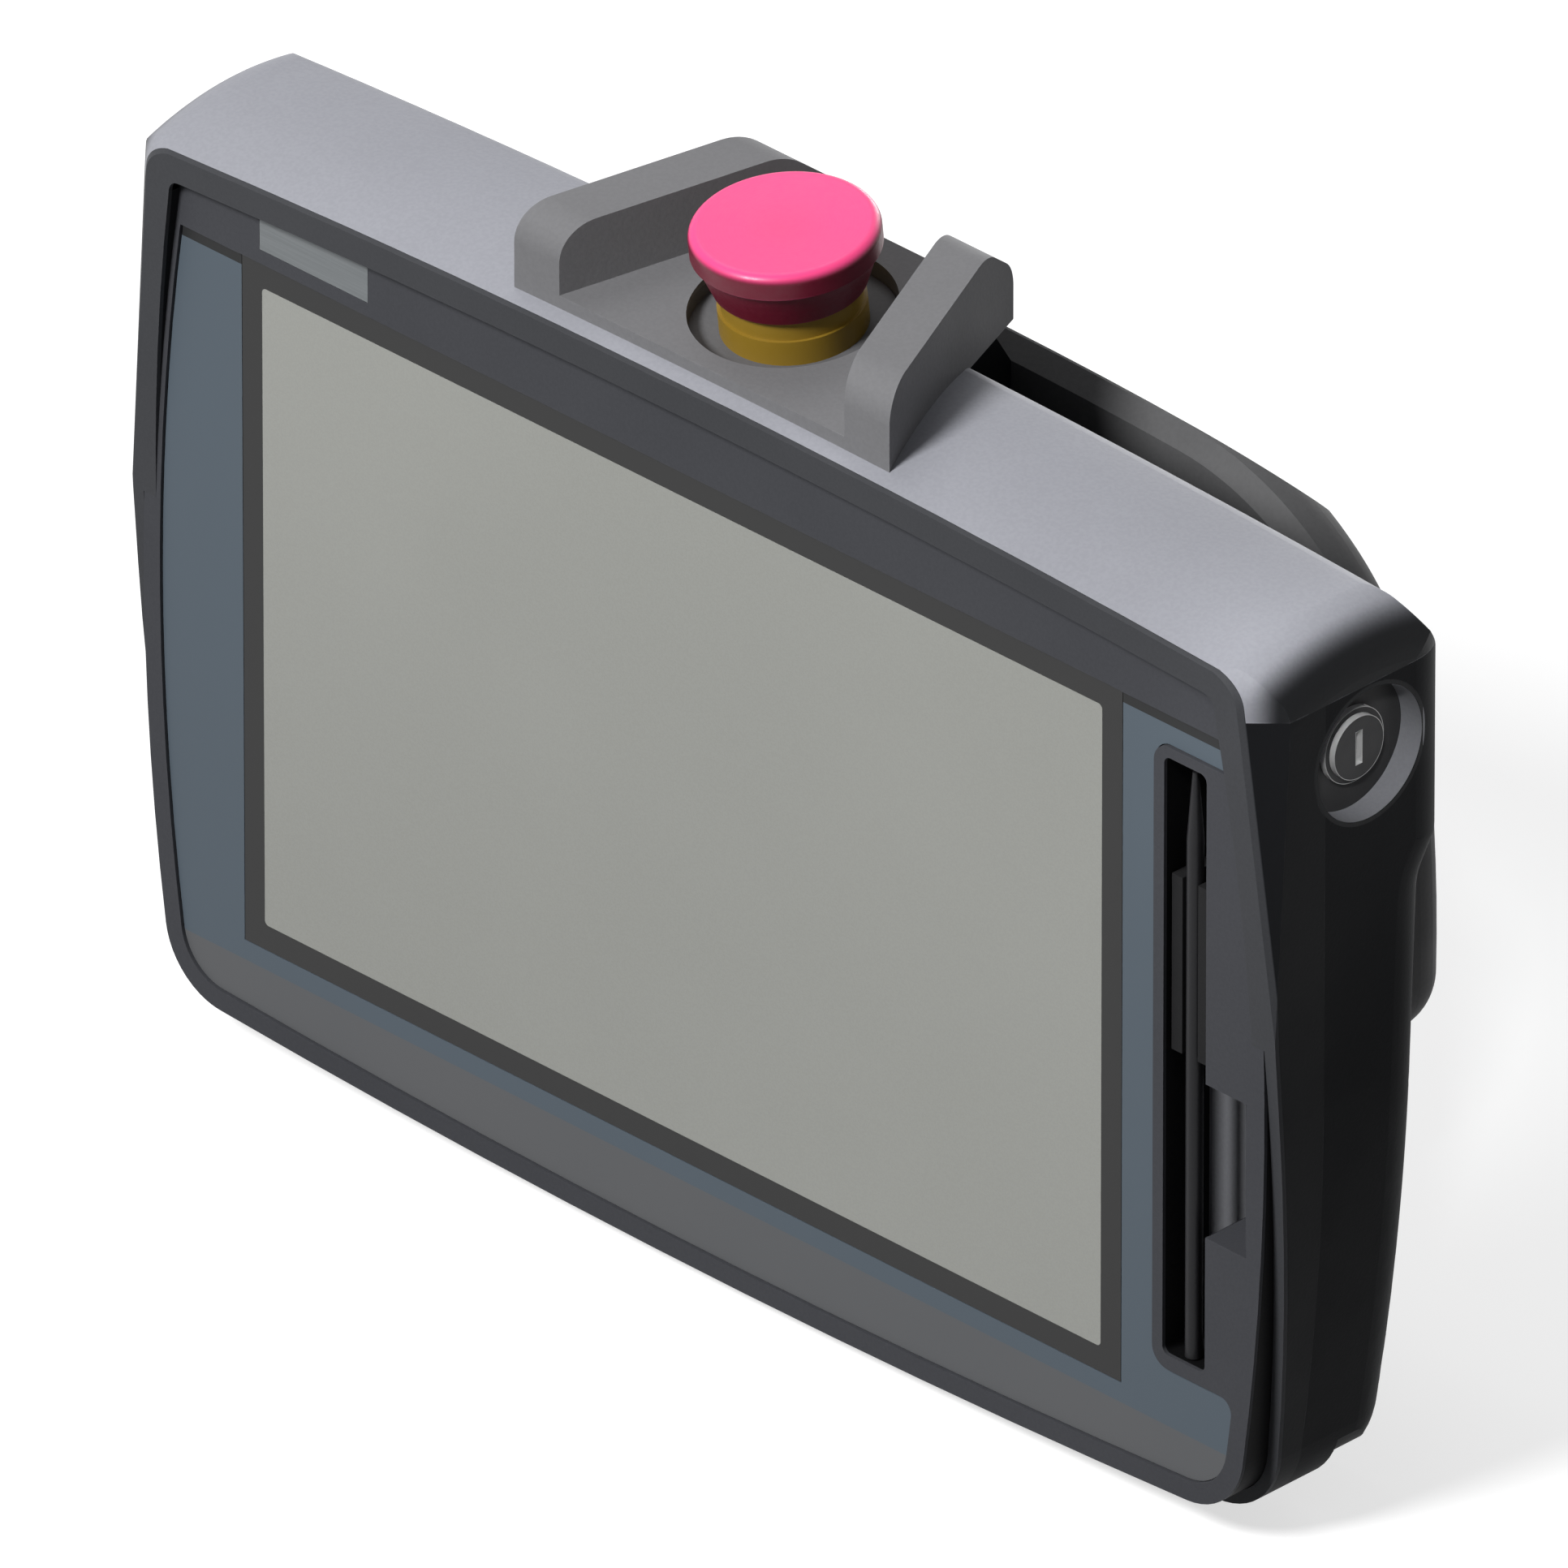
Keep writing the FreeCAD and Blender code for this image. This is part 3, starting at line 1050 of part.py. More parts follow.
def handle_back(ring):
    """The rounded back half of the ring handle, which closes the levers' slots."""
    everywhere = (-BEYOND, BEYOND)
    ring = ring.common(box(everywhere, (HANDLE_SPLIT_Y, HANDLE_BACK_Y + 1), everywhere))
    for side in SIDES:
        ring = ring.cut(switch_box(side, FIT))
    for x, z in handle_screw_places():
        ring = ring.cut(rod_y(HANDLE_SCREW_RADIUS, x, z, HANDLE_SPLIT_Y - 1, HANDLE_BACK_Y + 1))
        ring = ring.cut(rod_y(HANDLE_SCREW_HEAD + FIT, x, z, HANDLE_BACK_Y - HANDLE_SCREW_HEAD_DEPTH,
                              HANDLE_BACK_Y + 1))
    return ring


def handle_screws():
    seat = HANDLE_BACK_Y - HANDLE_SCREW_HEAD_DEPTH
    screws = [rod_y(HANDLE_SCREW_RADIUS, x, z, HANDLE_SCREW_TIP_Y, seat)
              .fuse(rod_y(HANDLE_SCREW_HEAD, x, z, seat, HANDLE_BACK_Y - RUNNING)) for x, z in handle_screw_places()]
    return Part.makeCompound(screws)


def handle_neck(shell, seat):
    """The block that carries the top of the ring handle from the housing's back."""
    block = side_view([(NECK_FRONT_Y, NECK_LOW_Z), (HANDLE_FRONT_Y, NECK_LOW_Z), (HANDLE_FRONT_Y, NECK_REAR_Z),
                       (NECK_FLAT_Y, NECK_TOP_Z), (NECK_FRONT_Y, NECK_TOP_Z)], (-NECK_HALF_WIDTH, NECK_HALF_WIDTH))
    block = block.cut(shell).cut(seat)
    for side in SIDES:
        block = block.cut(rod_y(HANDLE_SCREW_RADIUS, side * NECK_SCREW_X, NECK_SCREW_Z, HANDLE_SCREW_TIP_Y, BEYOND))
    return block


def enabling_lever(side):
    """A squeeze lever that swings on a pin at its lower end."""
    front = HANDLE_FRONT_Y - LEVER_PROUD
    blade = box(centred(side * LEVER_X, LEVER_WIDTH), (front, front + LEVER_DEPTH), (LEVER_LOW_Z, LEVER_HIGH_Z))
    blade = blade.makeFillet(LEVER_PROUD / 2, [edge for edge in blade.Edges if edge.CenterOfMass.y < front + 0.01])
    half = LEVER_WIDTH / 2
    hub = rod_x(LEVER_HUB_RADIUS, LEVER_PIN_Y, LEVER_PIN_Z, side * LEVER_X - half, side * LEVER_X + half)
    return joined([blade, hub]).cut(lever_pin(side, LEVER_PIN_RADIUS + RUNNING, LEVER_PIN_REACH))


def lever_pins():
    return Part.makeCompound([lever_pin(side, LEVER_PIN_RADIUS, LEVER_PIN_REACH) for side in SIDES])


def lever_back_y():
    return HANDLE_FRONT_Y - LEVER_PROUD + LEVER_DEPTH


def switch_box(side, margin=0.0):
    front = lever_back_y() + SWITCH_CLEARANCE
    back = (HANDLE_SPLIT_Y + HANDLE_BACK_Y) / 2 + 1
    return box(centred(side * LEVER_X, SWITCH_WIDTH + 2 * margin), (front, back),
               centred(SWITCH_Z, SWITCH_HEIGHT + 2 * margin))


def cover_block(inset, y_span, z_low):
    half = COVER_HALF_WIDTH - inset
    return box((-half, half), y_span, (z_low, COVER_HEIGHT - inset))


def connection_cover(seal_face):
    """The box at the foot of the back that covers the terminals. Its flat underside stands on the table."""
    front = FOOT_BACK_Y - COVER_WALL
    cover = cover_block(0, (front, COVER_BACK_Y), 0)
    outer_edges = [edge for edge in cover.Edges if edge.CenterOfMass.y > COVER_BACK_Y - 0.01
                   and edge.CenterOfMass.z > 1]
    cover = cover.makeFillet(COVER_ROUND, outer_edges)
    cover = cover.cut(cover_block(COVER_WALL, (front - 1, COVER_BACK_Y - COVER_WALL), COVER_WALL))
    posts = [rod_y(COVER_POST_RADIUS, x, z, front, COVER_BACK_Y - COVER_WALL) for x, z in cover_screw_places()]
    cover = joined([cover] + posts).cut(seal_face)
    for x, z in cover_screw_places():
        cover = cover.cut(rod_y(COVER_SCREW_RADIUS, x, z, 0, BEYOND))
        cover = cover.cut(rod_y(COVER_SCREW_HEAD + FIT, x, z, COVER_BACK_Y - COVER_SCREW_HEAD_DEPTH, BEYOND))
    return cover.cut(rod_x(GLAND_THREAD_RADIUS, GLAND_Y, GLAND_Z, -COVER_HALF_WIDTH - 1, 0))


def cover_seal(shell, seal_face):
    """The flat gasket between the connection cover and the back of the rear shell."""
    low = REAR_LIFT + 1
    y_span = (FOOT_BACK_Y - 1, LOWER_BACK_Y + SEAL_THICKNESS)
    ring = cover_block(1, y_span, low).cut(cover_block(SEAL_WIDTH, (0, BEYOND), low + SEAL_WIDTH))
    pads = [rod_y(COVER_POST_RADIUS, x, z, *y_span) for x, z in cover_screw_places()]
    ring = joined([ring] + pads).common(seal_face).cut(shell)
    for x, z in cover_screw_places():
        ring = ring.cut(rod_y(COVER_SCREW_RADIUS, x, z, 0, BEYOND))
    return ring


def cover_screws():
    seat = COVER_BACK_Y - COVER_SCREW_HEAD_DEPTH
    screws = [rod_y(COVER_SCREW_RADIUS, x, z, COVER_SCREW_TIP_Y, seat)
              .fuse(rod_y(COVER_SCREW_HEAD, x, z, seat, COVER_BACK_Y - RUNNING)) for x, z in cover_screw_places()]
    return Part.makeCompound(screws)


def terminal_board():
    return box(centred(0, TERMINAL_BOARD_WIDTH), (TERMINAL_BOARD_Y, TERMINAL_BOARD_Y + BOARD_THICKNESS),
               (TERMINAL_BOARD_LOW_Z, TERMINAL_BOARD_HIGH_Z))


def terminal_standoffs():
    zs = (TERMINAL_BOARD_LOW_Z + STANDOFF_INSET, TERMINAL_BOARD_HIGH_Z - STANDOFF_INSET)
    return Part.makeCompound([rod_y(STANDOFF_RADIUS, side * TERMINAL_STANDOFF_X, z, TERMINAL_BOARD_Y + BOARD_THICKNESS,
                                    COVER_BACK_Y - COVER_WALL) for side in SIDES for z in zs])


def terminal_block():
    return box(centred(0, TERMINAL_BLOCK_WIDTH), (TERMINAL_BOARD_Y - TERMINAL_BLOCK_DEPTH, TERMINAL_BOARD_Y),
               centred((TERMINAL_BOARD_LOW_Z + TERMINAL_BOARD_HIGH_Z) / 2, TERMINAL_BLOCK_HEIGHT))


def hexagon_x(radius, x_start, x_end):
    angles = [math.radians(60 * step) for step in range(6)]
    points = [Vector(x_start, GLAND_Y + radius * math.cos(a), GLAND_Z + radius * math.sin(a)) for a in angles]
    return prism(points, X_AXIS * (x_end - x_start))


def cable_gland():
    """The cable inlet in the cover's left side."""
    wall = -COVER_HALF_WIDTH
    thread = rod_x(GLAND_THREAD_RADIUS, GLAND_Y, GLAND_Z, wall, wall + COVER_WALL + GLAND_NUT_LENGTH + 1)
    head = hexagon_x(GLAND_HEX, wall - GLAND_REACH, wall)
    bore = rod_x(GLAND_BORE_RADIUS, GLAND_Y, GLAND_Z, -BEYOND, 0)
    return joined([thread, head]).cut(bore)


def gland_nut():
    inside = -COVER_HALF_WIDTH + COVER_WALL
    nut = hexagon_x(GLAND_HEX, inside, inside + GLAND_NUT_LENGTH)
    return nut.cut(rod_x(GLAND_THREAD_RADIUS, GLAND_Y, GLAND_Z, -BEYOND, 0))


def build():
    shell = housing()
    hollow = housing(WALL)
    seal_face = shell.copy()
    seal_face.translate(Y_AXIS * SEAL_THICKNESS)
    seat = stop_seat(shell)
    ring = handle_ring()
    return {
        "outer_frame": outer_frame(shell),
        "front_plate": front_plate(),
        "front_film": front_film(),
        "blank_label": blank_label(),
        "touch_screen": touch_screen(),
        "display_gasket": display_gasket(),
        "lcd_module": lcd_module(),
        "lcd_bracket": lcd_bracket(),
        "main_board": main_board(),
        "board_chips": board_chips(),
        "board_standoffs": board_standoffs(),
        "board_screws": board_screws(),
        "stylus": stylus(),
        "stylus_clips": stylus_clips(),
        "top_shell": top_shell(shell, hollow, seat),
        "rear_shell": rear_shell(shell, hollow),
        "housing_screws": housing_screws(),
        "estop_guard": estop_guard(shell),
        "estop_collar": estop_collar(),
        "estop_barrel": estop_barrel(),
        "estop_lock_nut": estop_lock_nut(hollow),
        "estop_plunger": estop_plunger(),
        "estop_cap": estop_cap(),
        "estop_spring": estop_spring(),
        "estop_contact_block": estop_contact_block(),
        "key_liner": key_liner(shell, hollow),
        "key_housing": key_housing(),
        "key_rotor": key_rotor(),
        "key_lock_nut": key_lock_nut(),
        "key_contact_block": key_contact_block(),
        "handle_neck": handle_neck(shell, seat),
        "handle_frame": handle_frame(ring),
        "handle_back": handle_back(ring),
        "handle_screws": handle_screws(),
        "enabling_lever_left": enabling_lever(-1),
        "enabling_lever_right": enabling_lever(1),
        "lever_pins": lever_pins(),
        "enabling_switch_left": switch_box(-1),
        "enabling_switch_right": switch_box(1),
        "connection_cover": connection_cover(seal_face),
        "cover_seal": cover_seal(shell, seal_face),
        "cover_screws": cover_screws(),
        "terminal_board": terminal_board(),
        "terminal_standoffs": terminal_standoffs(),
        "terminal_block": terminal_block(),
        "cable_gland": cable_gland(),
        "gland_nut": gland_nut(),
    }


def main():
    os.makedirs("parts", exist_ok=True)
    for node, shape in build().items():
        shape.translate(Y_AXIS * Y_SHIFT)
        shape.exportStep(f"parts/{node}.step")


main()
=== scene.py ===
# %% [markdown]
# # A handheld operator panel
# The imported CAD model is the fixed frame: every solid already sits in its place, in metres, with X to the
# operator's right, Y away from them and Z up. This script adds the finishes, the small repeated details,
# the light and the camera. Nothing of the frame is moved.

# %% Load the frame
import bpy
import json
import math
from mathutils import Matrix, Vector


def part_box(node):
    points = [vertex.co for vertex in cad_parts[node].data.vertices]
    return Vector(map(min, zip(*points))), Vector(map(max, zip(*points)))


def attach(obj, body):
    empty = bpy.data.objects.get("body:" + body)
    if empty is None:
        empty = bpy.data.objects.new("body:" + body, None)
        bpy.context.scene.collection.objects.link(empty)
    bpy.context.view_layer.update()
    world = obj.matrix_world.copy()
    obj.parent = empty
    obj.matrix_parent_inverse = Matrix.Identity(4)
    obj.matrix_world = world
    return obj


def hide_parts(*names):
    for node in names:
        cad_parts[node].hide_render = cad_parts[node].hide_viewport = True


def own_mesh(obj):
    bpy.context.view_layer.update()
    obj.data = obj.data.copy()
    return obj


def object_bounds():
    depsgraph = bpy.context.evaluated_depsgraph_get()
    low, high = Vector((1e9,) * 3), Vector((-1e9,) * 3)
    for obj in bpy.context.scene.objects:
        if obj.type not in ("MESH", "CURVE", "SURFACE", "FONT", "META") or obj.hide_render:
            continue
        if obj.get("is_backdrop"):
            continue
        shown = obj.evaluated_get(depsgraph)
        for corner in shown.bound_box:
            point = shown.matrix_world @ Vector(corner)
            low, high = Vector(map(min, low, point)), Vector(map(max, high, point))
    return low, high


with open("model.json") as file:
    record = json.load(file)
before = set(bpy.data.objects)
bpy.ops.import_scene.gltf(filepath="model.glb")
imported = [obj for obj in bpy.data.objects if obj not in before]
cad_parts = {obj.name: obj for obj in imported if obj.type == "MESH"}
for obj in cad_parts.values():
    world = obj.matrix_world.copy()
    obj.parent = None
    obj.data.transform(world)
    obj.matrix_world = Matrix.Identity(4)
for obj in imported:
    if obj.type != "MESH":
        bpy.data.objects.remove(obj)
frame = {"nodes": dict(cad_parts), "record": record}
cad_low, cad_high = (list(corner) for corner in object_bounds())
nodes = frame["nodes"]
print(len(nodes), "solids, from", [round(v, 4) for v in cad_low], "to", [round(v, 4) for v in cad_high])

# %% [markdown]
# ## Camera
# The picture is almost a parallel projection, seen 45 degrees round to the right and 30 degrees from above.
# A very long lens far away gives that look and still fits other views, which an orthographic camera
# wouldn't. The distance follows from the width of the picture, 287.5 mm at the panel.

# %% Camera
PICTURE_WIDTH = 0.2875
LENS, SENSOR = 1500.0, 36.0
TARGET = Vector((0.00767, -0.02438, 0.1037))
AZIMUTH, ELEVATION = math.radians(45), math.radians(30)

lens = bpy.data.cameras.new("camera")
lens.lens, lens.sensor_width = LENS, SENSOR
camera = bpy.data.objects.new("camera", lens)
bpy.context.scene.collection.objects.link(camera)
towards_camera = Vector((math.sin(AZIMUTH) * math.cos(ELEVATION),
                         -math.cos(AZIMUTH) * math.cos(ELEVATION),
                         math.sin(ELEVATION)))
distance = PICTURE_WIDTH * LENS / SENSOR
camera.location = TARGET + towards_camera * distance
camera.rotation_euler = (-towards_camera).to_track_quat("-Z", "Y").to_euler()
lens.clip_end = distance * 4
bpy.context.scene.camera = camera
print("camera", round(distance, 3), "m away")

# %% [markdown]
# ## Node trees as expressions
# Finishes and repeated details are both node trees. `Amount` wraps a socket, so that arithmetic on it adds
# Math nodes. `Graph` adds any other node from its type, its settings and its inputs.

# %% Amount and Graph
class Amount:
    """A value that a node gives."""

    def __init__(self, graph, socket):
        self.graph, self.socket = graph, socket

    def maths(self, operation, *values):
        return self.graph.node("ShaderNodeMath", {"operation": operation}, dict(enumerate(values)))

    def __add__(self, other):
        return self.maths("ADD", self, other)

    __radd__ = __add__

    def __sub__(self, other):
        return self.maths("SUBTRACT", self, other)

    def __rsub__(self, other):
        return self.maths("SUBTRACT", other, self)

    def __mul__(self, other):
        return self.maths("MULTIPLY", self, other)

    def __gt__(self, other):
        return self.maths("GREATER_THAN", self, other)

    def __lt__(self, other):
        return self.maths("LESS_THAN", self, other)

    def __abs__(self):
        return self.maths("ABSOLUTE", self)

    def at_least(self, other):
        return self.maths("MAXIMUM", self, other)

    def sine(self):
        return self.maths("SINE", self)


class Graph:
    """A node tree that takes its nodes by type, settings and inputs."""

    def __init__(self, tree):
        self.tree = tree

    def node(self, kind, settings=None, inputs=None, out=0):
        node = self.tree.nodes.new(kind)
        for key, value in (settings or {}).items():
            setattr(node, key, value)
        for key, value in (inputs or {}).items():
            self.feed(node.inputs[key], value)
        return Amount(self, node.outputs[out])

    def feed(self, socket, value):
        if isinstance(value, Amount):
            self.tree.links.new(value.socket, socket)
        elif isinstance(value, list):
            for amount in value:
                self.tree.links.new(amount.socket, socket)
        else:
            socket.default_value = value


print("node helpers ready")

# %% [markdown]
# ## World and floor
# The picture has a plain white ground. The world and the far floor show white to the camera, in reflections
# and through clear pieces. Near the panel the floor keeps a faint shadow, which fades out into the white.
# As light on the panel the world and the floor are weak and even.

# %% World
WHITE, WORLD_TINT = (1, 1, 1, 1), (0.97, 0.98, 1.0, 1)
WORLD_STRENGTH = 0.15

scene = bpy.context.scene
scene.view_settings.view_transform = "Standard"


def white(graph, strength=1.0):
    return graph.node("ShaderNodeEmission", inputs={"Color": WHITE, "Strength": strength})


def shown_to_camera(graph, shown, lighting, out):
    """Gives one shader to the camera, to gloss and to glass, and the other to everything that it lights."""
    camera_ray, glossy_ray, clear_ray = (graph.node("ShaderNodeLightPath", out=f"Is {kind} Ray")
                                         for kind in ("Camera", "Glossy", "Transmission"))
    seen = camera_ray.at_least(glossy_ray).at_least(clear_ray)
    graph.feed(out, graph.node("ShaderNodeMixShader", inputs={0: seen, 1: lighting, 2: shown}))


world = bpy.data.worlds.new("studio")
world.use_nodes = True
scene.world = world
sky = Graph(world.node_tree)
even = sky.node("ShaderNodeBackground", inputs={"Color": WORLD_TINT, "Strength": WORLD_STRENGTH})
shown_to_camera(sky, white(sky), even, world.node_tree.nodes["World Output"].inputs["Surface"])
print("world of strength", WORLD_STRENGTH)

# %% Floor
FLOOR_HALF, FLOOR_GAP = 30.0, 0.0005
FLOOR_GLOW, FLOOR_SHADOWED, FLOOR_BOUNCE = 0.65, 0.5, 0.1
FADE_START, FADE_END = 0.5, 1.2


def dull(graph, level):
    return graph.node("ShaderNodeBsdfDiffuse", inputs={"Color": (level, level, level, 1)})


floor_finish = bpy.data.materials.new("pale_floor")
floor_finish.use_nodes = True
ground = Graph(floor_finish.node_tree)
floor_place = ground.node("ShaderNodeTexCoord", out="Object")
off_centre = ground.node("ShaderNodeVectorMath", {"operation": "LENGTH"}, {0: floor_place}, out="Value")
far = ground.node("ShaderNodeMapRange", {"interpolation_type": "SMOOTHSTEP"},
                  {"Value": off_centre, "From Min": FADE_START, "From Max": FADE_END})
near = ground.node("ShaderNodeAddShader",
                   inputs={0: white(ground, FLOOR_GLOW), 1: dull(ground, FLOOR_SHADOWED)})
pale = ground.node("ShaderNodeMixShader", inputs={0: far, 1: near, 2: white(ground)})
shown_to_camera(ground, pale, dull(ground, FLOOR_BOUNCE),
                floor_finish.node_tree.nodes["Material Output"].inputs["Surface"])

floor_mesh = bpy.data.meshes.new("floor")
floor_corners = [(x * FLOOR_HALF, y * FLOOR_HALF, 0) for x, y in ((-1, -1), (1, -1), (1, 1), (-1, 1))]
floor_mesh.from_pydata(floor_corners, [], [(0, 1, 2, 3)])
floor_mesh.materials.append(floor_finish)
floor = bpy.data.objects.new("floor", floor_mesh)
floor.location.z = cad_low[2] - FLOOR_GAP
scene.collection.objects.link(floor)
floor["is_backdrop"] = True
print("floor at", round(floor.location.z, 4))

# %% [markdown]
# ## Lamps
# The main lamp is high in front, so the crowned top and the display are the lightest surfaces and the right
# side stays dark. A weak lamp behind lifts the back. A small spot reaches into the recess of the key switch.

# %% Lamps
SPOT_TARGET, SPOT_OFFSET = Vector((0.145, -0.0143, 0.1634)), Vector((0.24, -0.27, 0.33))
SPOT_ANGLE, SPOT_BLEND = math.radians(5.5), 0.3
SPOT_SIZE, SPOT_POWER = 0.03, 9


def hang(light, place, target):
    """Puts a lamp in its place, turned towards its target."""
    holder = bpy.data.objects.new(light.name, light)
    holder.location = place
    holder.rotation_euler = (target - holder.location).to_track_quat("-Z", "Y").to_euler()
    scene.collection.objects.link(holder)
    print("lamp", light.name, round(light.energy, 1), "W")


def disk_lamp(name, place, size, power):
    light = bpy.data.lights.new(name, "AREA")
    light.shape, light.size, light.energy = "DISK", size, power
    hang(light, place, TARGET)


disk_lamp("top_lamp", place=(-0.8, 0.4, 1.7), size=1.1, power=7)
disk_lamp("front_lamp", place=(-0.12, -1.4, 1.35), size=0.5, power=39)
disk_lamp("back_lamp", place=(-0.6, 1.5, 0.45), size=0.8, power=12)

spot = bpy.data.lights.new("key_spot", "SPOT")
spot.energy, spot.shadow_soft_size = SPOT_POWER, SPOT_SIZE
spot.spot_size, spot.spot_blend = SPOT_ANGLE, SPOT_BLEND
hang(spot, SPOT_TARGET + SPOT_OFFSET, SPOT_TARGET)

# %% [markdown]
# ## Finishes
# A finish is one material. All its patterns read Object coordinates, so they are fixed to the panel and keep
# their real size.

# %% Finish
EDGE_RADIUS, EDGE_LEAN, EDGE_SAMPLES = 0.0006, (0.02, 0.22), 4
NOISE_MIDDLE = (0.3, 0.7)


class Finish(Graph):
    """A Principled shader with whatever nodes its pattern needs."""

    def __init__(self, name, **constants):
        self.material = bpy.data.materials.new(name)
        self.material.use_nodes = True
        super().__init__(self.material.node_tree)
        self.shader = self.tree.nodes["Principled BSDF"]
        self.set(**constants)
        self.place = self.node("ShaderNodeTexCoord", out="Object")

    def set(self, **values):
        for key, value in values.items():
            self.feed(self.shader.inputs[key.replace("_", " ")], value)

    def noise(self, scale, detail=2.0, roughness=0.5):
        return self.node("ShaderNodeTexNoise", {"noise_dimensions": "3D"},
                         {"Vector": self.place, "Scale": scale, "Detail": detail, "Roughness": roughness})

    def axis(self, letter):
        return self.node("ShaderNodeSeparateXYZ", inputs={0: self.place}, out=letter)

    def between(self, first, second):
        """The distance between two places."""
        return self.node("ShaderNodeVectorMath", {"operation": "DISTANCE"}, {0: first, 1: second},
                         out="Value")

    def ramp(self, value, low, high, start=0.0, end=1.0):
        return self.node("ShaderNodeMapRange", {"interpolation_type": "SMOOTHSTEP"},
                         {"Value": value, "From Min": low, "From Max": high, "To Min": start, "To Max": end})

    def spread(self, noise, start=0.0, end=1.0):
        """The middle of a noise, stretched over a range."""
        return self.ramp(noise, *NOISE_MIDDLE, start, end)

    def mix(self, amount, first, second):
        return self.node("ShaderNodeMix", {"data_type": "RGBA"}, {0: amount, 6: first, 7: second}, out=2)

    def bump(self, height, strength, depth):
        return self.node("ShaderNodeBump", inputs={"Strength": strength, "Distance": depth, "Height": height})

    def edges(self):
        """1 on sharp outer edges and 0 on flats, from how far a rounded normal leans from the true one."""
        rounded = self.node("ShaderNodeBevel", {"samples": EDGE_SAMPLES}, {"Radius": EDGE_RADIUS})
        flat = self.node("ShaderNodeNewGeometry", out="True Normal")
        along = self.node("ShaderNodeVectorMath", {"operation": "DOT_PRODUCT"}, {0: rounded, 1: flat},
                          out="Value")
        return self.ramp(1 - along, *EDGE_LEAN)


def tone(red, green, blue):
    """A linear colour from the 0 to 255 values that a screen shows."""
    return tuple(c / 12.92 if c <= 0.04045 else ((c + 0.055) / 1.055) ** 2.4
                 for c in (v / 255 for v in (red, green, blue))) + (1.0,)


def shade(colour, factor):
    return tuple(min(1.0, c * factor) for c in colour[:3]) + (1.0,)


def dress(finish, *names):
    """Gives a finish to CAD nodes without touching their meshes."""
    for name in names:
        for slot in nodes[name].material_slots:
            slot.material = finish.material
    print(finish.material.name, "on", ", ".join(names))


print("finish helpers ready")

# %% [markdown]
# ## Moulded plastics
# The housing, guard and handle are moulded with a fine spark-eroded grain. The tone drifts a little over the
# surface, handling polishes it in patches and outer edges wear lighter. One function makes the family. A
# piece that shows more than one tone gets further colours, each with a mask for where it is. On this panel
# those further colours are painted shade, painted shadow and painted light.

# %% Moulded plastics
BLACK = (0, 0, 0, 1)
TONE_DRIFT, WORN_SHADE, SPECK_SHADE = (0.92, 1.08), 1.7, 0.06
WORN_PATCHES = (0.42, 0.66)
POLISH = 0.06


def moulded(name, colour, *others, grain=1500.0, roughness=0.55, wear=0.25, specular=0.1):
    finish = Finish(name, Specular_IOR_Level=specular)
    cloud = finish.noise(scale=14.0, detail=4.0, roughness=0.6)
    speck = finish.noise(scale=grain)

    def drift(tint):
        return finish.mix(cloud, *(shade(tint, factor) for factor in TONE_DRIFT))

    base = drift(colour)
    for other, mask in others:
        base = finish.mix(mask(finish), base, drift(other))
    base = finish.mix(finish.spread(speck, 0.0, SPECK_SHADE), base, BLACK)
    patches = finish.ramp(finish.noise(scale=160.0, detail=3.0), *WORN_PATCHES)
    base = finish.mix(finish.edges() * patches * wear, base, shade(colour, WORN_SHADE))
    finish.set(Base_Color=base, Roughness=finish.spread(cloud, roughness + POLISH, roughness - POLISH),
               Normal=finish.bump(speck, strength=0.25, depth=0.00012))
    return finish


CAD_SHIFT = -0.037855  # from the Y of the sizes in the part's source to the Y of the frame
SHELL_END = (0.1415, 0.1468)
STOP_CENTRE = (0.0, 0.0237 + CAD_SHIFT, 0.195)
SEAT_REACH = 0.0205


# Painted shade: the shell's rolled ends turn near black where they curve round to the sides.
def shaded_rolled_end(finish):
    return finish.ramp(abs(finish.axis("X")), *SHELL_END)


# Painted shadow: the shell round the stop button's seat is darker, as under the cap.
def cap_shadow_on_seat(finish):
    return finish.between(finish.place, STOP_CENTRE) < SEAT_REACH


# The top shell is light grey, with painted shade near black on its rolled ends and a painted shadow on its
# seat under the stop cap.
dress(moulded("shell_plastic", tone(150, 151, 158), (tone(24, 25, 27), shaded_rolled_end),
              (tone(98, 98, 100), cap_shadow_on_seat), grain=1200.0, roughness=0.5, wear=0.2), "top_shell")
# The rear shell, connection cover and handle neck are a near-black moulding; this dark tone also paints the
# shade that the panel's sides show.
dress(moulded("dark_plastic", tone(17, 18, 20), wear=0.2, specular=0.04), "rear_shell", "connection_cover",
      "handle_neck")
dress(moulded("guard_plastic", tone(116, 116, 118), grain=1200.0), "estop_guard")
dress(moulded("handle_plastic", tone(86, 86, 87), grain=1100.0), "handle_frame", "handle_back")
dress(moulded("lever_plastic", tone(112, 113, 116), grain=1300.0), "enabling_lever_left",
      "enabling_lever_right")
dress(moulded("gland_plastic", tone(44, 45, 48), grain=1600.0), "cable_gland", "gland_nut")
dress(moulded("stylus_plastic", tone(38, 38, 40), grain=2200.0, roughness=0.4, specular=0.15), "stylus")
dress(moulded("clip_rubber", tone(32, 32, 33), grain=900.0, roughness=0.75, wear=0.1), "stylus_clips")

# %% Plastics inside
dress(moulded("component_plastic", tone(24, 24, 25)), "board_chips", "estop_contact_block",
      "key_contact_block", "enabling_switch_left", "enabling_switch_right", "estop_barrel", "estop_plunger",
      "lcd_module")
dress(moulded("gasket_rubber", tone(30, 30, 30), grain=700.0, roughness=0.8, wear=0.0), "display_gasket",
      "cover_seal")
dress(moulded("terminal_plastic", tone(52, 112, 70)), "terminal_block")
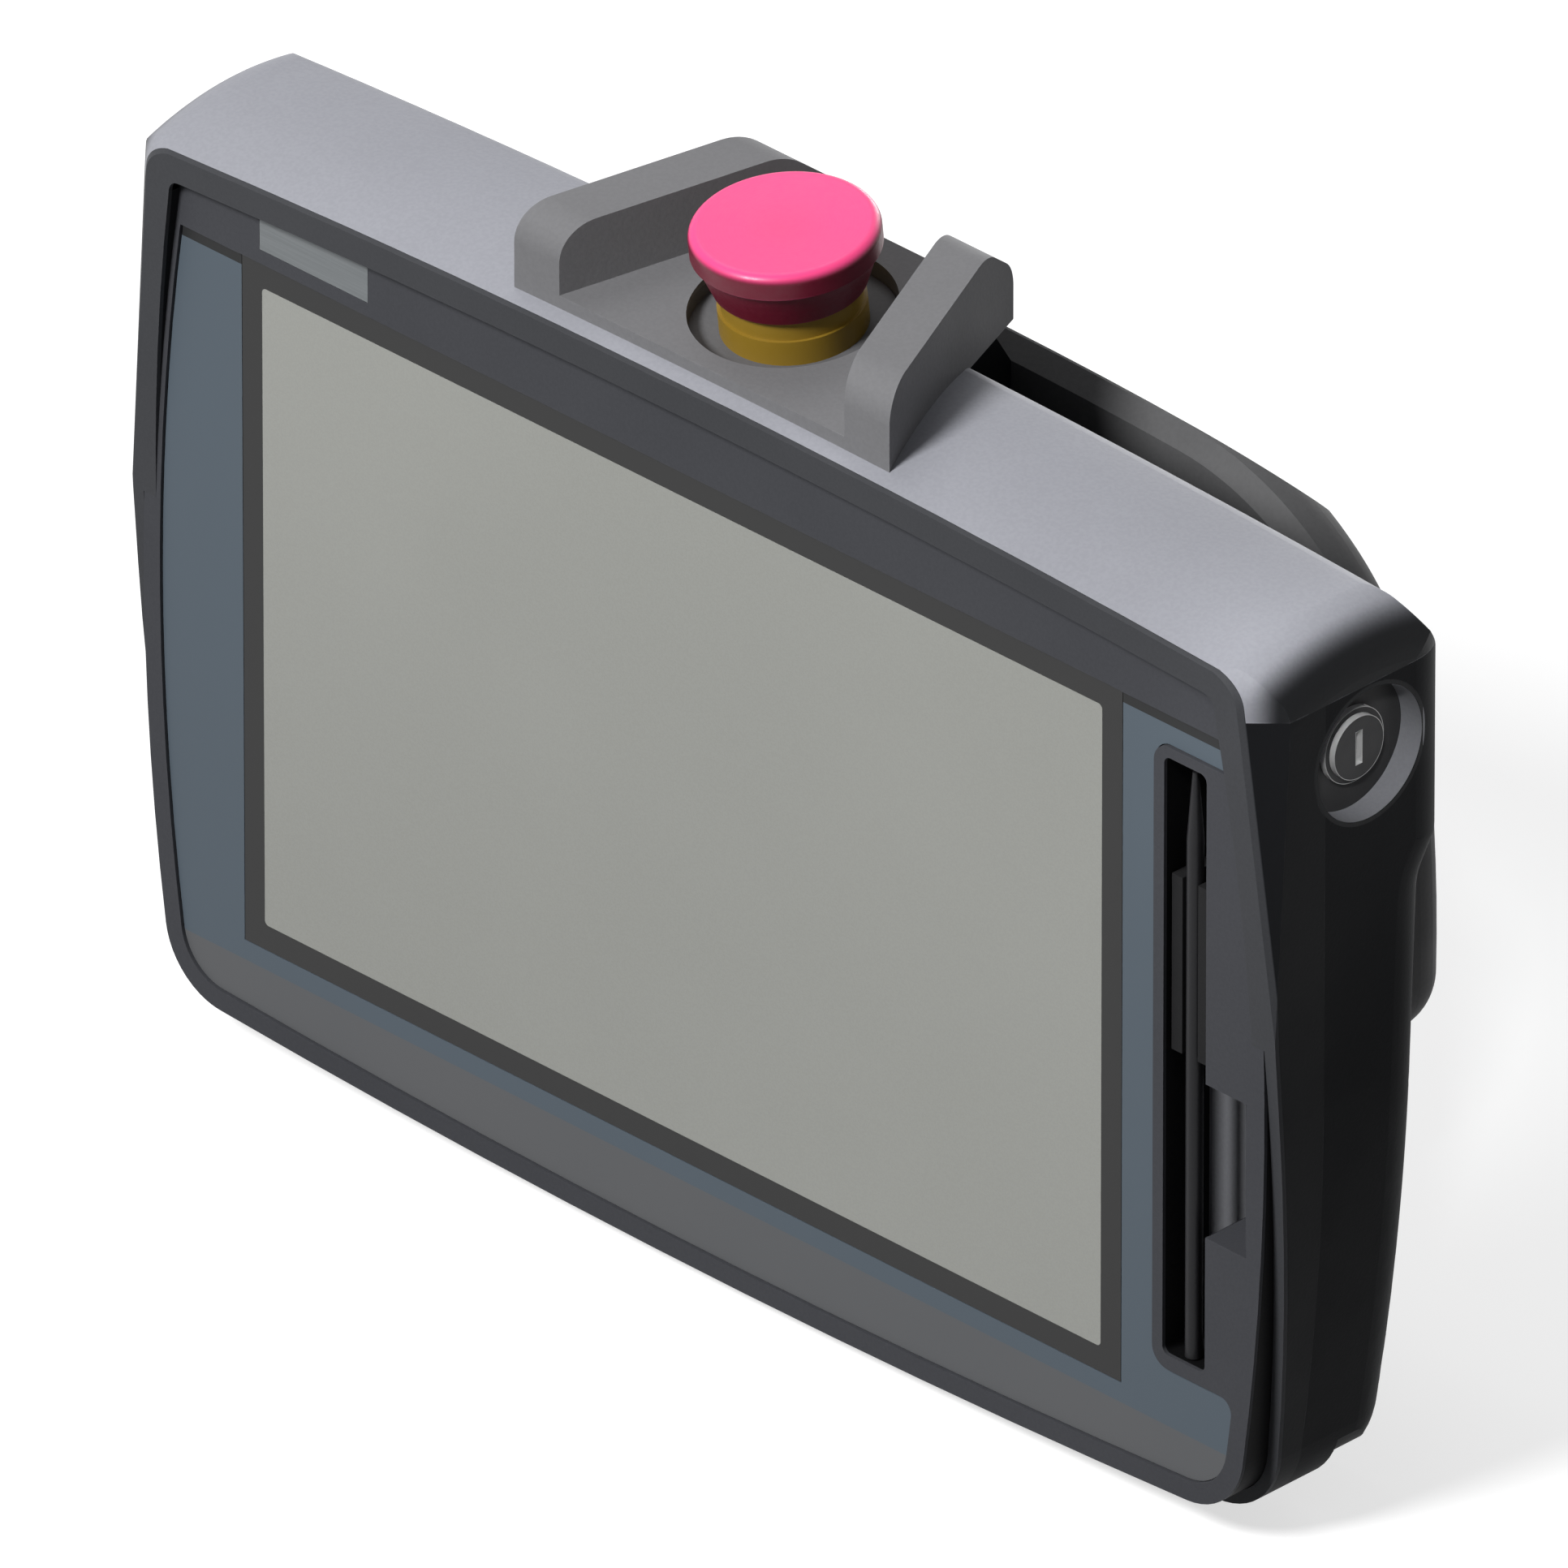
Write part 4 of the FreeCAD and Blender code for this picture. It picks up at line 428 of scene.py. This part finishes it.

# %% [markdown]
# ## Frame and front plate
# The outer frame is slate on its leaning front face, and round the side it is painted near black as shade.
# The front plate is the same slate, but the walls of the stylus slot and the plate's skirt are painted dark
# as shade, and the slot's floor is painted pale as light against the shadow in it, so that it shows through
# the finger notch. All the masks come from the place on the panel.

# %% Frame and front plate
PLATE_FACE, LEAN_HEIGHT = -0.038505, 0.1095
LEAN_BELOW, LEAN_ABOVE = 0.0715, 0.045
FACE_DEPTH, FACE_BLEND = 0.0008, 0.0011
SLOT_LEFT, SLOT_RIGHT, SLOT_FLOOR = 0.1185, 0.1305, -0.0264
NOTCH_RIGHT, NOTCH_LOW, NOTCH_HIGH = 0.1412, 0.0639, 0.0965


# Painted shade: 1 on the frame's faces behind its leaning front face, which turn away from the light.
def shaded_frame_side(finish):
    rise = finish.axis("Z") - LEAN_HEIGHT
    lean = LEAN_BELOW + (rise > 0.0) * (LEAN_ABOVE - LEAN_BELOW)
    return finish.ramp(finish.axis("Y") - PLATE_FACE + rise * lean, FACE_DEPTH, FACE_BLEND)


# Painted shade: 1 on the stylus slot's walls and the plate's skirt, but not in the finger notch.
def shaded_slot_walls_and_skirt(finish):
    x, y, z = (finish.axis(letter) for letter in "XYZ")
    notch = (x > SLOT_RIGHT) * (x < NOTCH_RIGHT) * (z > NOTCH_LOW) * (z < NOTCH_HIGH)
    return (y > PLATE_FACE + FACE_DEPTH) * (1 - notch) * (y < SLOT_FLOOR)


# Painted light: 1 on the deep slot's floor, which is made pale against the shadow that falls in it.
def lit_slot_floor(finish):
    x = finish.axis("X")
    return (finish.axis("Y") > SLOT_FLOOR) * (x > SLOT_LEFT) * (x < NOTCH_RIGHT)


# Slate front with painted shade near black round the frame's side.
dress(moulded("frame_plastic", tone(65, 66, 69), (tone(18, 19, 21), shaded_frame_side), specular=0.06),
      "outer_frame")
# The plate is slate, with painted shade on the slot walls and skirt and painted light on the slot floor.
dress(moulded("plate_plastic", tone(67, 68, 72), (tone(16, 16, 17), shaded_slot_walls_and_skirt),
              (tone(110, 111, 115), lit_slot_floor), specular=0.06), "front_plate")

# %% [markdown]
# ## Printed film and display
# The film is printed from behind in three tones: blue-grey beside and under the display, a lighter grey strip
# along the foot and a black line along the top. The glass has a black border round the grey display. Both
# prints are masks worked out from the place on the panel, so their edges stay sharp at any size.

# %% Printed film
FILM_GREY_TOP, FILM_LINE_LOW = 0.0197, 0.1675

film = Finish("printed_film", Specular_IOR_Level=0.12)
height = film.axis("Z")
cloud, speck = film.noise(scale=20.0, detail=4.0), film.noise(scale=1800.0)
ink = film.mix(height < FILM_GREY_TOP, tone(85, 95, 104), tone(95, 96, 98))
ink = film.mix(height > FILM_LINE_LOW, ink, tone(40, 40, 40))
ink = film.mix(film.spread(cloud, 0.0, 0.1), ink, tone(62, 68, 74))
film.set(Base_Color=ink, Roughness=film.spread(cloud, 0.5, 0.4),
         Normal=film.bump(speck, strength=0.12, depth=0.00005))
dress(film, "front_film")

# %% Display
DISPLAY_X, DISPLAY_Z = -0.0058, 0.097
DISPLAY_HALF_X, DISPLAY_HALF_Z = 0.1088, 0.0677
DISPLAY_CORNER = 0.001

screen = Finish("display_glass", Specular_IOR_Level=0.2)
out_x, out_z = abs(screen.axis("X") - DISPLAY_X), abs(screen.axis("Z") - DISPLAY_Z)
corner_x = (out_x - (DISPLAY_HALF_X - DISPLAY_CORNER)).at_least(0.0)
corner_z = (out_z - (DISPLAY_HALF_Z - DISPLAY_CORNER)).at_least(0.0)
border = (corner_x * corner_x + corner_z * corner_z) > DISPLAY_CORNER ** 2
cloud, sparkle = screen.noise(scale=9.0, detail=3.0), screen.noise(scale=3000.0, detail=1.0)
picture = screen.mix(screen.spread(cloud), tone(147, 148, 143), tone(151, 152, 147))
picture = screen.mix(screen.ramp(sparkle, 0.35, 0.65, 0.0, 0.05), picture, tone(200, 200, 198))
screen.set(Base_Color=screen.mix(border, picture, tone(40, 40, 40)),
           Roughness=screen.spread(cloud, 0.36, 0.3),
           Normal=screen.bump(sparkle, strength=0.06, depth=0.00003))
dress(screen, "touch_screen")

# %% [markdown]
# ## Blank label
# The label on the top band is left plain: a satin plate with a fine brushed grain and no words.

# %% Blank label
BRUSHED = (60, 60, 2600)

label = Finish("blank_label", Specular_IOR_Level=0.2)
drawn_out = label.node("ShaderNodeMapping", inputs={"Vector": label.place, "Scale": BRUSHED})
streak = label.node("ShaderNodeTexNoise", {"noise_dimensions": "3D"},
                    {"Vector": drawn_out, "Scale": 1.0, "Detail": 3.0})
label.set(Base_Color=label.mix(streak, tone(104, 108, 110), tone(124, 128, 130)),
          Roughness=label.spread(streak, 0.46, 0.38))
dress(label, "blank_label")

# %% [markdown]
# ## Stop button
# The red cap and the yellow collar are glossy mouldings turned about an axis that leans towards the operator.
# A Vector Rotate node stands that axis upright, so rings left by the tool can follow the distance from it and
# the lighter red of the cap's top can change at the rounded edge to a deep red of painted shade on its side.

# %% Stop button
STOP_TILT = math.radians(7.0)
CAP_EDGE = (0.0192, 0.0206)
CAP_RINGS = 9000.0
GLOSS_DRIFT, GLOSS_WORN_SHADE = (0.94, 1.05), 1.4
GLOSS_WEAR, GLOSS_PATCHES = 0.2, (0.4, 0.62)
GLOSS_POLISH = 0.05


def on_stop_axis(finish):
    """Distance from the button's own axis, and height along it."""
    upright = finish.node("ShaderNodeVectorRotate", {"rotation_type": "X_AXIS"},
                          {"Vector": finish.place, "Center": STOP_CENTRE, "Angle": -STOP_TILT})
    flat = finish.node("ShaderNodeVectorMath", {"operation": "MULTIPLY"}, {0: upright, 1: (1, 1, 0)})
    away = finish.between(flat, (STOP_CENTRE[0], STOP_CENTRE[1], 0.0))
    return away, finish.node("ShaderNodeSeparateXYZ", inputs={0: upright}, out="Z") - STOP_CENTRE[2]


def stop_gloss(name, colour, shaded_lower, roughness):
    finish = Finish(name, Coat_Roughness=0.2, Specular_IOR_Level=0.3)
    cloud, speck = finish.noise(scale=40.0, detail=4.0), finish.noise(scale=900.0, detail=3.0)
    away, up = on_stop_axis(finish)
    rings = (away * CAP_RINGS).sine()
    worn = finish.edges() * finish.ramp(cloud, *GLOSS_PATCHES) * GLOSS_WEAR
    base = finish.mix(cloud, *(shade(colour, factor) for factor in GLOSS_DRIFT))
    # Painted shade: below the rounded edge the cap's side takes the darker tone.
    base = finish.mix(finish.ramp(up, *CAP_EDGE), shaded_lower, base)
    finish.set(Base_Color=finish.mix(worn, base, shade(colour, GLOSS_WORN_SHADE)),
               Roughness=finish.spread(speck, roughness + GLOSS_POLISH, roughness - GLOSS_POLISH),
               Coat_Weight=finish.spread(cloud, 0.12, 0.06),
               Normal=finish.bump(rings + speck, strength=0.05, depth=0.00005))
    return finish


dress(stop_gloss("stop_red", tone(248, 72, 136), shaded_lower=tone(98, 10, 36), roughness=0.4), "estop_cap")
dress(stop_gloss("stop_yellow", tone(140, 112, 36), shaded_lower=tone(140, 112, 36), roughness=0.45),
      "estop_collar")

# %% [markdown]
# ## Key switch
# The recess has a pale moulded liner whose outer edge is painted dark as shade, as dark as the wall round it.
# The lock in it is dull and dark with fine turning rings. The key slot is lighter, and the rims of the two
# raised steps carry painted highlights.

# %% Key switch
KEY_AXIS = (0.0, 0.0236 + CAD_SHIFT, 0.1634)
KEY_SLOT = (0.0009, 0.0035)
LINER_EDGE = 0.14805
LOCK_FLOOR, LOCK_RING, LOCK_ROTOR = 0.1428, 0.0076, 0.0064
RIM_WIDTH, RIM_RAISED = 0.00012, 0.00005
LATHE_RINGS, LATHE_WOBBLE = 14000.0, 6.0
METAL_DRIFT = (0.85, 1.1)
BRIGHT = tone(215, 215, 215)


def off_key_axis(finish):
    flat = finish.node("ShaderNodeVectorMath", {"operation": "MULTIPLY"}, {0: finish.place, 1: (0, 1, 1)})
    return finish.between(flat, KEY_AXIS)


def turned_metal(name, colour, roughness, metallic=0.85, bright=None):
    """Metal with rings from the lathe. A mask can say where it is made lighter, as the painted highlights on
    the lock's rims.
    """
    finish = Finish(name, Metallic=metallic, Specular_IOR_Level=0.2)
    rings = (off_key_axis(finish) * LATHE_RINGS + finish.noise(scale=300.0) * LATHE_WOBBLE).sine()
    cloud = finish.noise(scale=120.0, detail=4.0)
    base = finish.mix(cloud, *(shade(colour, factor) for factor in METAL_DRIFT))
    if bright:
        # Lighter key slot, and painted highlights on the rims of the lock's raised steps.
        base = finish.mix(bright(finish), base, BRIGHT)
    finish.set(Base_Color=base, Roughness=finish.spread(cloud, roughness + 0.08, roughness - 0.06),
               Normal=finish.bump(rings, strength=0.08, depth=0.00003))
    return finish


# A lighter key slot, and a painted highlight on the rim of the rotor.
def lighter_slot_and_rotor_rim_highlight(finish):
    y, z = finish.axis("Y") - KEY_AXIS[1], finish.axis("Z") - KEY_AXIS[2]
    slot = (y < KEY_SLOT[0]) * (y > -KEY_SLOT[0]) * (z < KEY_SLOT[1]) * (z > -KEY_SLOT[1])
    return slot + (off_key_axis(finish) > LOCK_ROTOR - RIM_WIDTH)


# Painted highlight on the rim of the lock's raised ring.
def ring_rim_highlight(finish):
    raised = finish.axis("X") > LOCK_FLOOR + RIM_RAISED
    return raised * (off_key_axis(finish) > LOCK_RING - RIM_WIDTH)


# Painted shade: the liner's outer edge, flush with the dark side wall.
def shaded_liner_rim(finish):
    return finish.axis("X") > LINER_EDGE


dress(moulded("liner_plastic", tone(150, 151, 156), (tone(20, 21, 23), shaded_liner_rim), grain=1400.0, wear=0.0),
      "key_liner")
dress(turned_metal("key_housing_metal", tone(56, 56, 57), roughness=0.55, metallic=0.0, bright=ring_rim_highlight),
      "key_housing")
dress(turned_metal("key_rotor_metal", tone(52, 52, 53), roughness=0.5, metallic=0.0,
                   bright=lighter_slot_and_rotor_rim_highlight), "key_rotor")

# %% [markdown]
# ## Steel, brass and circuit boards
# The screws, nuts and pins are zinc plated and the standoffs brass. The boards have solder resist over a fine
# weave and faint copper tracks. Most of this is inside the housing.

# %% Steel, brass and circuit boards
zinc = turned_metal("zinc_steel", tone(168, 170, 172), roughness=0.36)
dress(zinc, "board_screws", "housing_screws", "handle_screws", "cover_screws", "lever_pins", "estop_lock_nut",
      "key_lock_nut", "estop_spring", "lcd_bracket")
dress(turned_metal("turned_brass", tone(196, 164, 92), roughness=0.32), "board_standoffs",
      "terminal_standoffs")

board = Finish("circuit_board", Specular_IOR_Level=0.5)
weave = board.node("ShaderNodeTexVoronoi", {"feature": "DISTANCE_TO_EDGE"},
                   {"Vector": board.place, "Scale": 220.0})
track = board.ramp(weave, 0.02, 0.05, 1.0, 0.0)
board.set(Base_Color=board.mix(track, tone(24, 84, 50), tone(40, 112, 70)),
          Roughness=board.spread(board.noise(scale=60.0), 0.4, 0.3))
dress(board, "main_board", "terminal_board")

# %% [markdown]
# ## Repeated details
# Geometry Nodes make what repeats. A `Form` is one node group with named inputs. It works on a mesh of
# points, and the result is kept as a plain mesh that rides a body of the frame.

# %% Form
class Form(Graph):
    """A Geometry Nodes group with named inputs."""

    def __init__(self, name, *sizes):
        super().__init__(bpy.data.node_groups.new(name, "GeometryNodeTree"))
        kinds = [("Points", "Geometry"), ("Finish", "Material")] + [(size, "Float") for size in sizes]
        for title, kind in kinds:
            self.tree.interface.new_socket(title, in_out="INPUT", socket_type=f"NodeSocket{kind}")
        self.tree.interface.new_socket("Mesh", in_out="OUTPUT", socket_type="NodeSocketGeometry")
        self.start = self.tree.nodes.new("NodeGroupInput")

    def given(self, title):
        return Amount(self, self.start.outputs[title])

    def upwards(self, height):
        return self.node("ShaderNodeCombineXYZ", inputs={"Z": height})

    def cylinder(self, sides, radius, depth, top):
        """A closed cylinder along Z whose upper end is at a height."""
        shape = self.node("GeometryNodeMeshCylinder", {"fill_type": "NGON"},
                          {"Vertices": sides, "Radius": radius, "Depth": depth}, out="Mesh")
        middle = self.upwards(top - depth * 0.5)
        return self.node("GeometryNodeTransform", inputs={"Geometry": shape, "Translation": middle})

    def on_points(self, shape, turn, scale=(1, 1, 1)):
        return self.node("GeometryNodeInstanceOnPoints", inputs={
            "Points": self.given("Points"), "Instance": shape, "Rotation": turn, "Scale": scale})

    def finish(self, pieces):
        """Joins the pieces into one real mesh, dresses it and gives it out."""
        whole = self.node("GeometryNodeJoinGeometry", inputs={0: pieces})
        whole = self.node("GeometryNodeRealizeInstances", inputs={0: whole})
        whole = self.node("GeometryNodeSetMaterial",
                          inputs={"Geometry": whole, "Material": self.given("Finish")})
        self.feed(self.tree.nodes.new("NodeGroupOutput").inputs[0], whole)

    def make(self, name, points, finish, lengths=None, **sizes):
        mesh = bpy.data.meshes.new(name)
        mesh.from_pydata(points, [], [])
        if lengths:
            mesh.attributes.new("length", "FLOAT", "POINT").data.foreach_set("value", lengths)
        piece = bpy.data.objects.new(name, mesh)
        scene.collection.objects.link(piece)
        modifier = piece.modifiers.new(name, "NODES")
        modifier.node_group = self.tree
        values = {"Finish": finish.material, **{key.replace("_", " "): value for key, value in sizes.items()}}
        for item in self.tree.interface.items_tree:
            if item.name in values:
                modifier[item.identifier] = values[item.name]
        bpy.context.view_layer.update()
        made = piece.evaluated_get(bpy.context.evaluated_depsgraph_get())
        whole = bpy.data.meshes.new_from_object(made)
        piece.modifiers.clear()
        piece.data = whole
        print(name, "with", len(points), "places and", len(whole.polygons), "faces")
        return piece


print("form helper ready")

# %% [markdown]
# ### Socket screws
# The handle, the rear shell and the connection cover are held by screws whose heads show behind. Each gets a
# hexagon socket, cut by a prism that stands a little out of the head. Their places and lengths are read from
# the CAD screws that they stand for. The shank is one metre long in the group and is scaled to its length.

# %% Socket screw
HEAD_SIDES, SHANK_SIDES, SOCKET_SIDES = 40, 20, 6
SOCKET_WIDTH, SOCKET_RISE = 0.55, 0.4
BACKWARDS = (-math.pi / 2, 0, 0)

screw = Form("socket_screw", "Head Radius", "Head Height", "Shank Radius", "Socket Radius")
height = screw.given("Head Height")
head = screw.cylinder(HEAD_SIDES, screw.given("Head Radius"), depth=height, top=0.0)
hexagon = screw.cylinder(SOCKET_SIDES, screw.given("Socket Radius"), depth=height, top=height * SOCKET_RISE)
head = screw.node("GeometryNodeMeshBoolean", {"operation": "DIFFERENCE"}, {"Mesh 1": head, "Mesh 2": hexagon})
shank = screw.cylinder(SHANK_SIDES, screw.given("Shank Radius"), depth=1.0, top=0.0)
length = screw.node("GeometryNodeInputNamedAttribute", {"data_type": "FLOAT"}, {"Name": "length"})
stretch = screw.node("ShaderNodeCombineXYZ", inputs={"X": 1.0, "Y": 1.0, "Z": length})
screw.finish([screw.on_points(head, BACKWARDS), screw.on_points(shank, BACKWARDS, stretch)])
print("socket screw ready")

# %% Socket screws in place
SCREW_SIZES = {"handle_screws": (0.0034, 0.00295, 0.002), "housing_screws": (0.0032, 0.0026, 0.0016),
               "cover_screws": (0.0036, 0.00255, 0.002)}


def screw_places(node):
    """The middle of each head's face and the screw's length, one screw in each quarter of the node."""
    corners = [vertex.co for vertex in nodes[node].data.vertices]
    low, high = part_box(node)
    middle = (low.z + high.z) / 2
    places, lengths = [], []
    for right in (False, True):
        for upper in (False, True):
            own = [co for co in corners if (co.x > 0) == right and (co.z > middle) == upper]
            xs, ys, zs = zip(*own)
            places.append(((min(xs) + max(xs)) / 2, max(ys), (min(zs) + max(zs)) / 2))
            lengths.append(max(ys) - min(ys))
    return places, lengths


for node, (head_radius, head_height, shank_radius) in SCREW_SIZES.items():
    places, lengths = screw_places(node)
    piece = screw.make(f"socket_{node}", places, zinc, lengths, Head_Radius=head_radius,
                       Head_Height=head_height, Shank_Radius=shank_radius,
                       Socket_Radius=head_radius * SOCKET_WIDTH)
    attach(piece, "housing")
    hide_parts(node)

# %% [markdown]
# ### Grip ribs
# Each squeeze lever has a row of low rounded ribs across its face, which move with the lever.

# %% Grip ribs
RIB_COUNT, RIB_PITCH, RIB_MARGIN = 11, 0.0034, 0.006
RIB_RADIUS, RIB_LENGTH, RIB_SIDES = 0.0006, 0.0076, 14
RIB_SUNK = 0.0002
ACROSS = (0, math.pi / 2, 0)

rib = Form("grip_rib", "Rib Radius", "Rib Length")
length = rib.given("Rib Length")
bar = rib.cylinder(RIB_SIDES, rib.given("Rib Radius"), depth=length, top=length * 0.5)
rib.finish([rib.on_points(bar, ACROSS)])
rubber = moulded("rib_rubber", tone(58, 58, 60), grain=1300.0, roughness=0.7, wear=0.1)
for side in ("left", "right"):
    low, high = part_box(f"enabling_lever_{side}")
    middle_x, top_z = (low.x + high.x) / 2, high.z - RIB_MARGIN
    places = [(middle_x, low.y + RIB_SUNK, top_z - step * RIB_PITCH) for step in range(RIB_COUNT)]
    ribs = rib.make(f"grip_ribs_{side}", places, rubber, Rib_Radius=RIB_RADIUS, Rib_Length=RIB_LENGTH)
    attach(ribs, f"lever_{side}")

# %% [markdown]
# ### Return spring
# A wound wire round the stop button's plunger stands for the plain tube of the CAD model.

# %% Return spring
SPRING_START, SPRING_LENGTH = 0.003, 0.00645
SPRING_RADIUS, WIRE_RADIUS, SPRING_TURNS = 0.00685, 0.00065, 3.0
STEPS_PER_TURN, WIRE_SIDES = 48, 12

coil = Form("return_spring", "Coil Radius", "Wire Radius", "Length", "Turns")
wire, around = coil.given("Wire Radius"), coil.given("Coil Radius")
path = coil.node("GeometryNodeCurveSpiral",
                 inputs={"Resolution": STEPS_PER_TURN, "Rotations": coil.given("Turns"),
                         "Start Radius": around, "End Radius": around,
                         "Height": coil.given("Length") - wire * 2.0})
section = coil.node("GeometryNodeCurvePrimitiveCircle", inputs={"Resolution": WIRE_SIDES, "Radius": wire})
wound = coil.node("GeometryNodeCurveToMesh",
                  inputs={"Curve": path, "Profile Curve": section, "Fill Caps": True})
wound = coil.node("GeometryNodeTransform", inputs={"Geometry": wound, "Translation": coil.upwards(wire)})
coil.finish([coil.on_points(wound, (STOP_TILT, 0, 0))])

stop_axis = Vector((0, -math.sin(STOP_TILT), math.cos(STOP_TILT)))
spring_start = Vector(STOP_CENTRE) + stop_axis * SPRING_START
travel = next(joint["range_m"][1] for joint in frame["record"]["behaviour"]["joints"]
              if joint["name"] == "estop_press")
spring = coil.make("wound_spring", [spring_start], zinc, Coil_Radius=SPRING_RADIUS, Wire_Radius=WIRE_RADIUS,
                   Length=SPRING_LENGTH, Turns=SPRING_TURNS)
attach(spring, "housing")
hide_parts("estop_spring")
1 - travel / SPRING_LENGTH
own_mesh(spring)
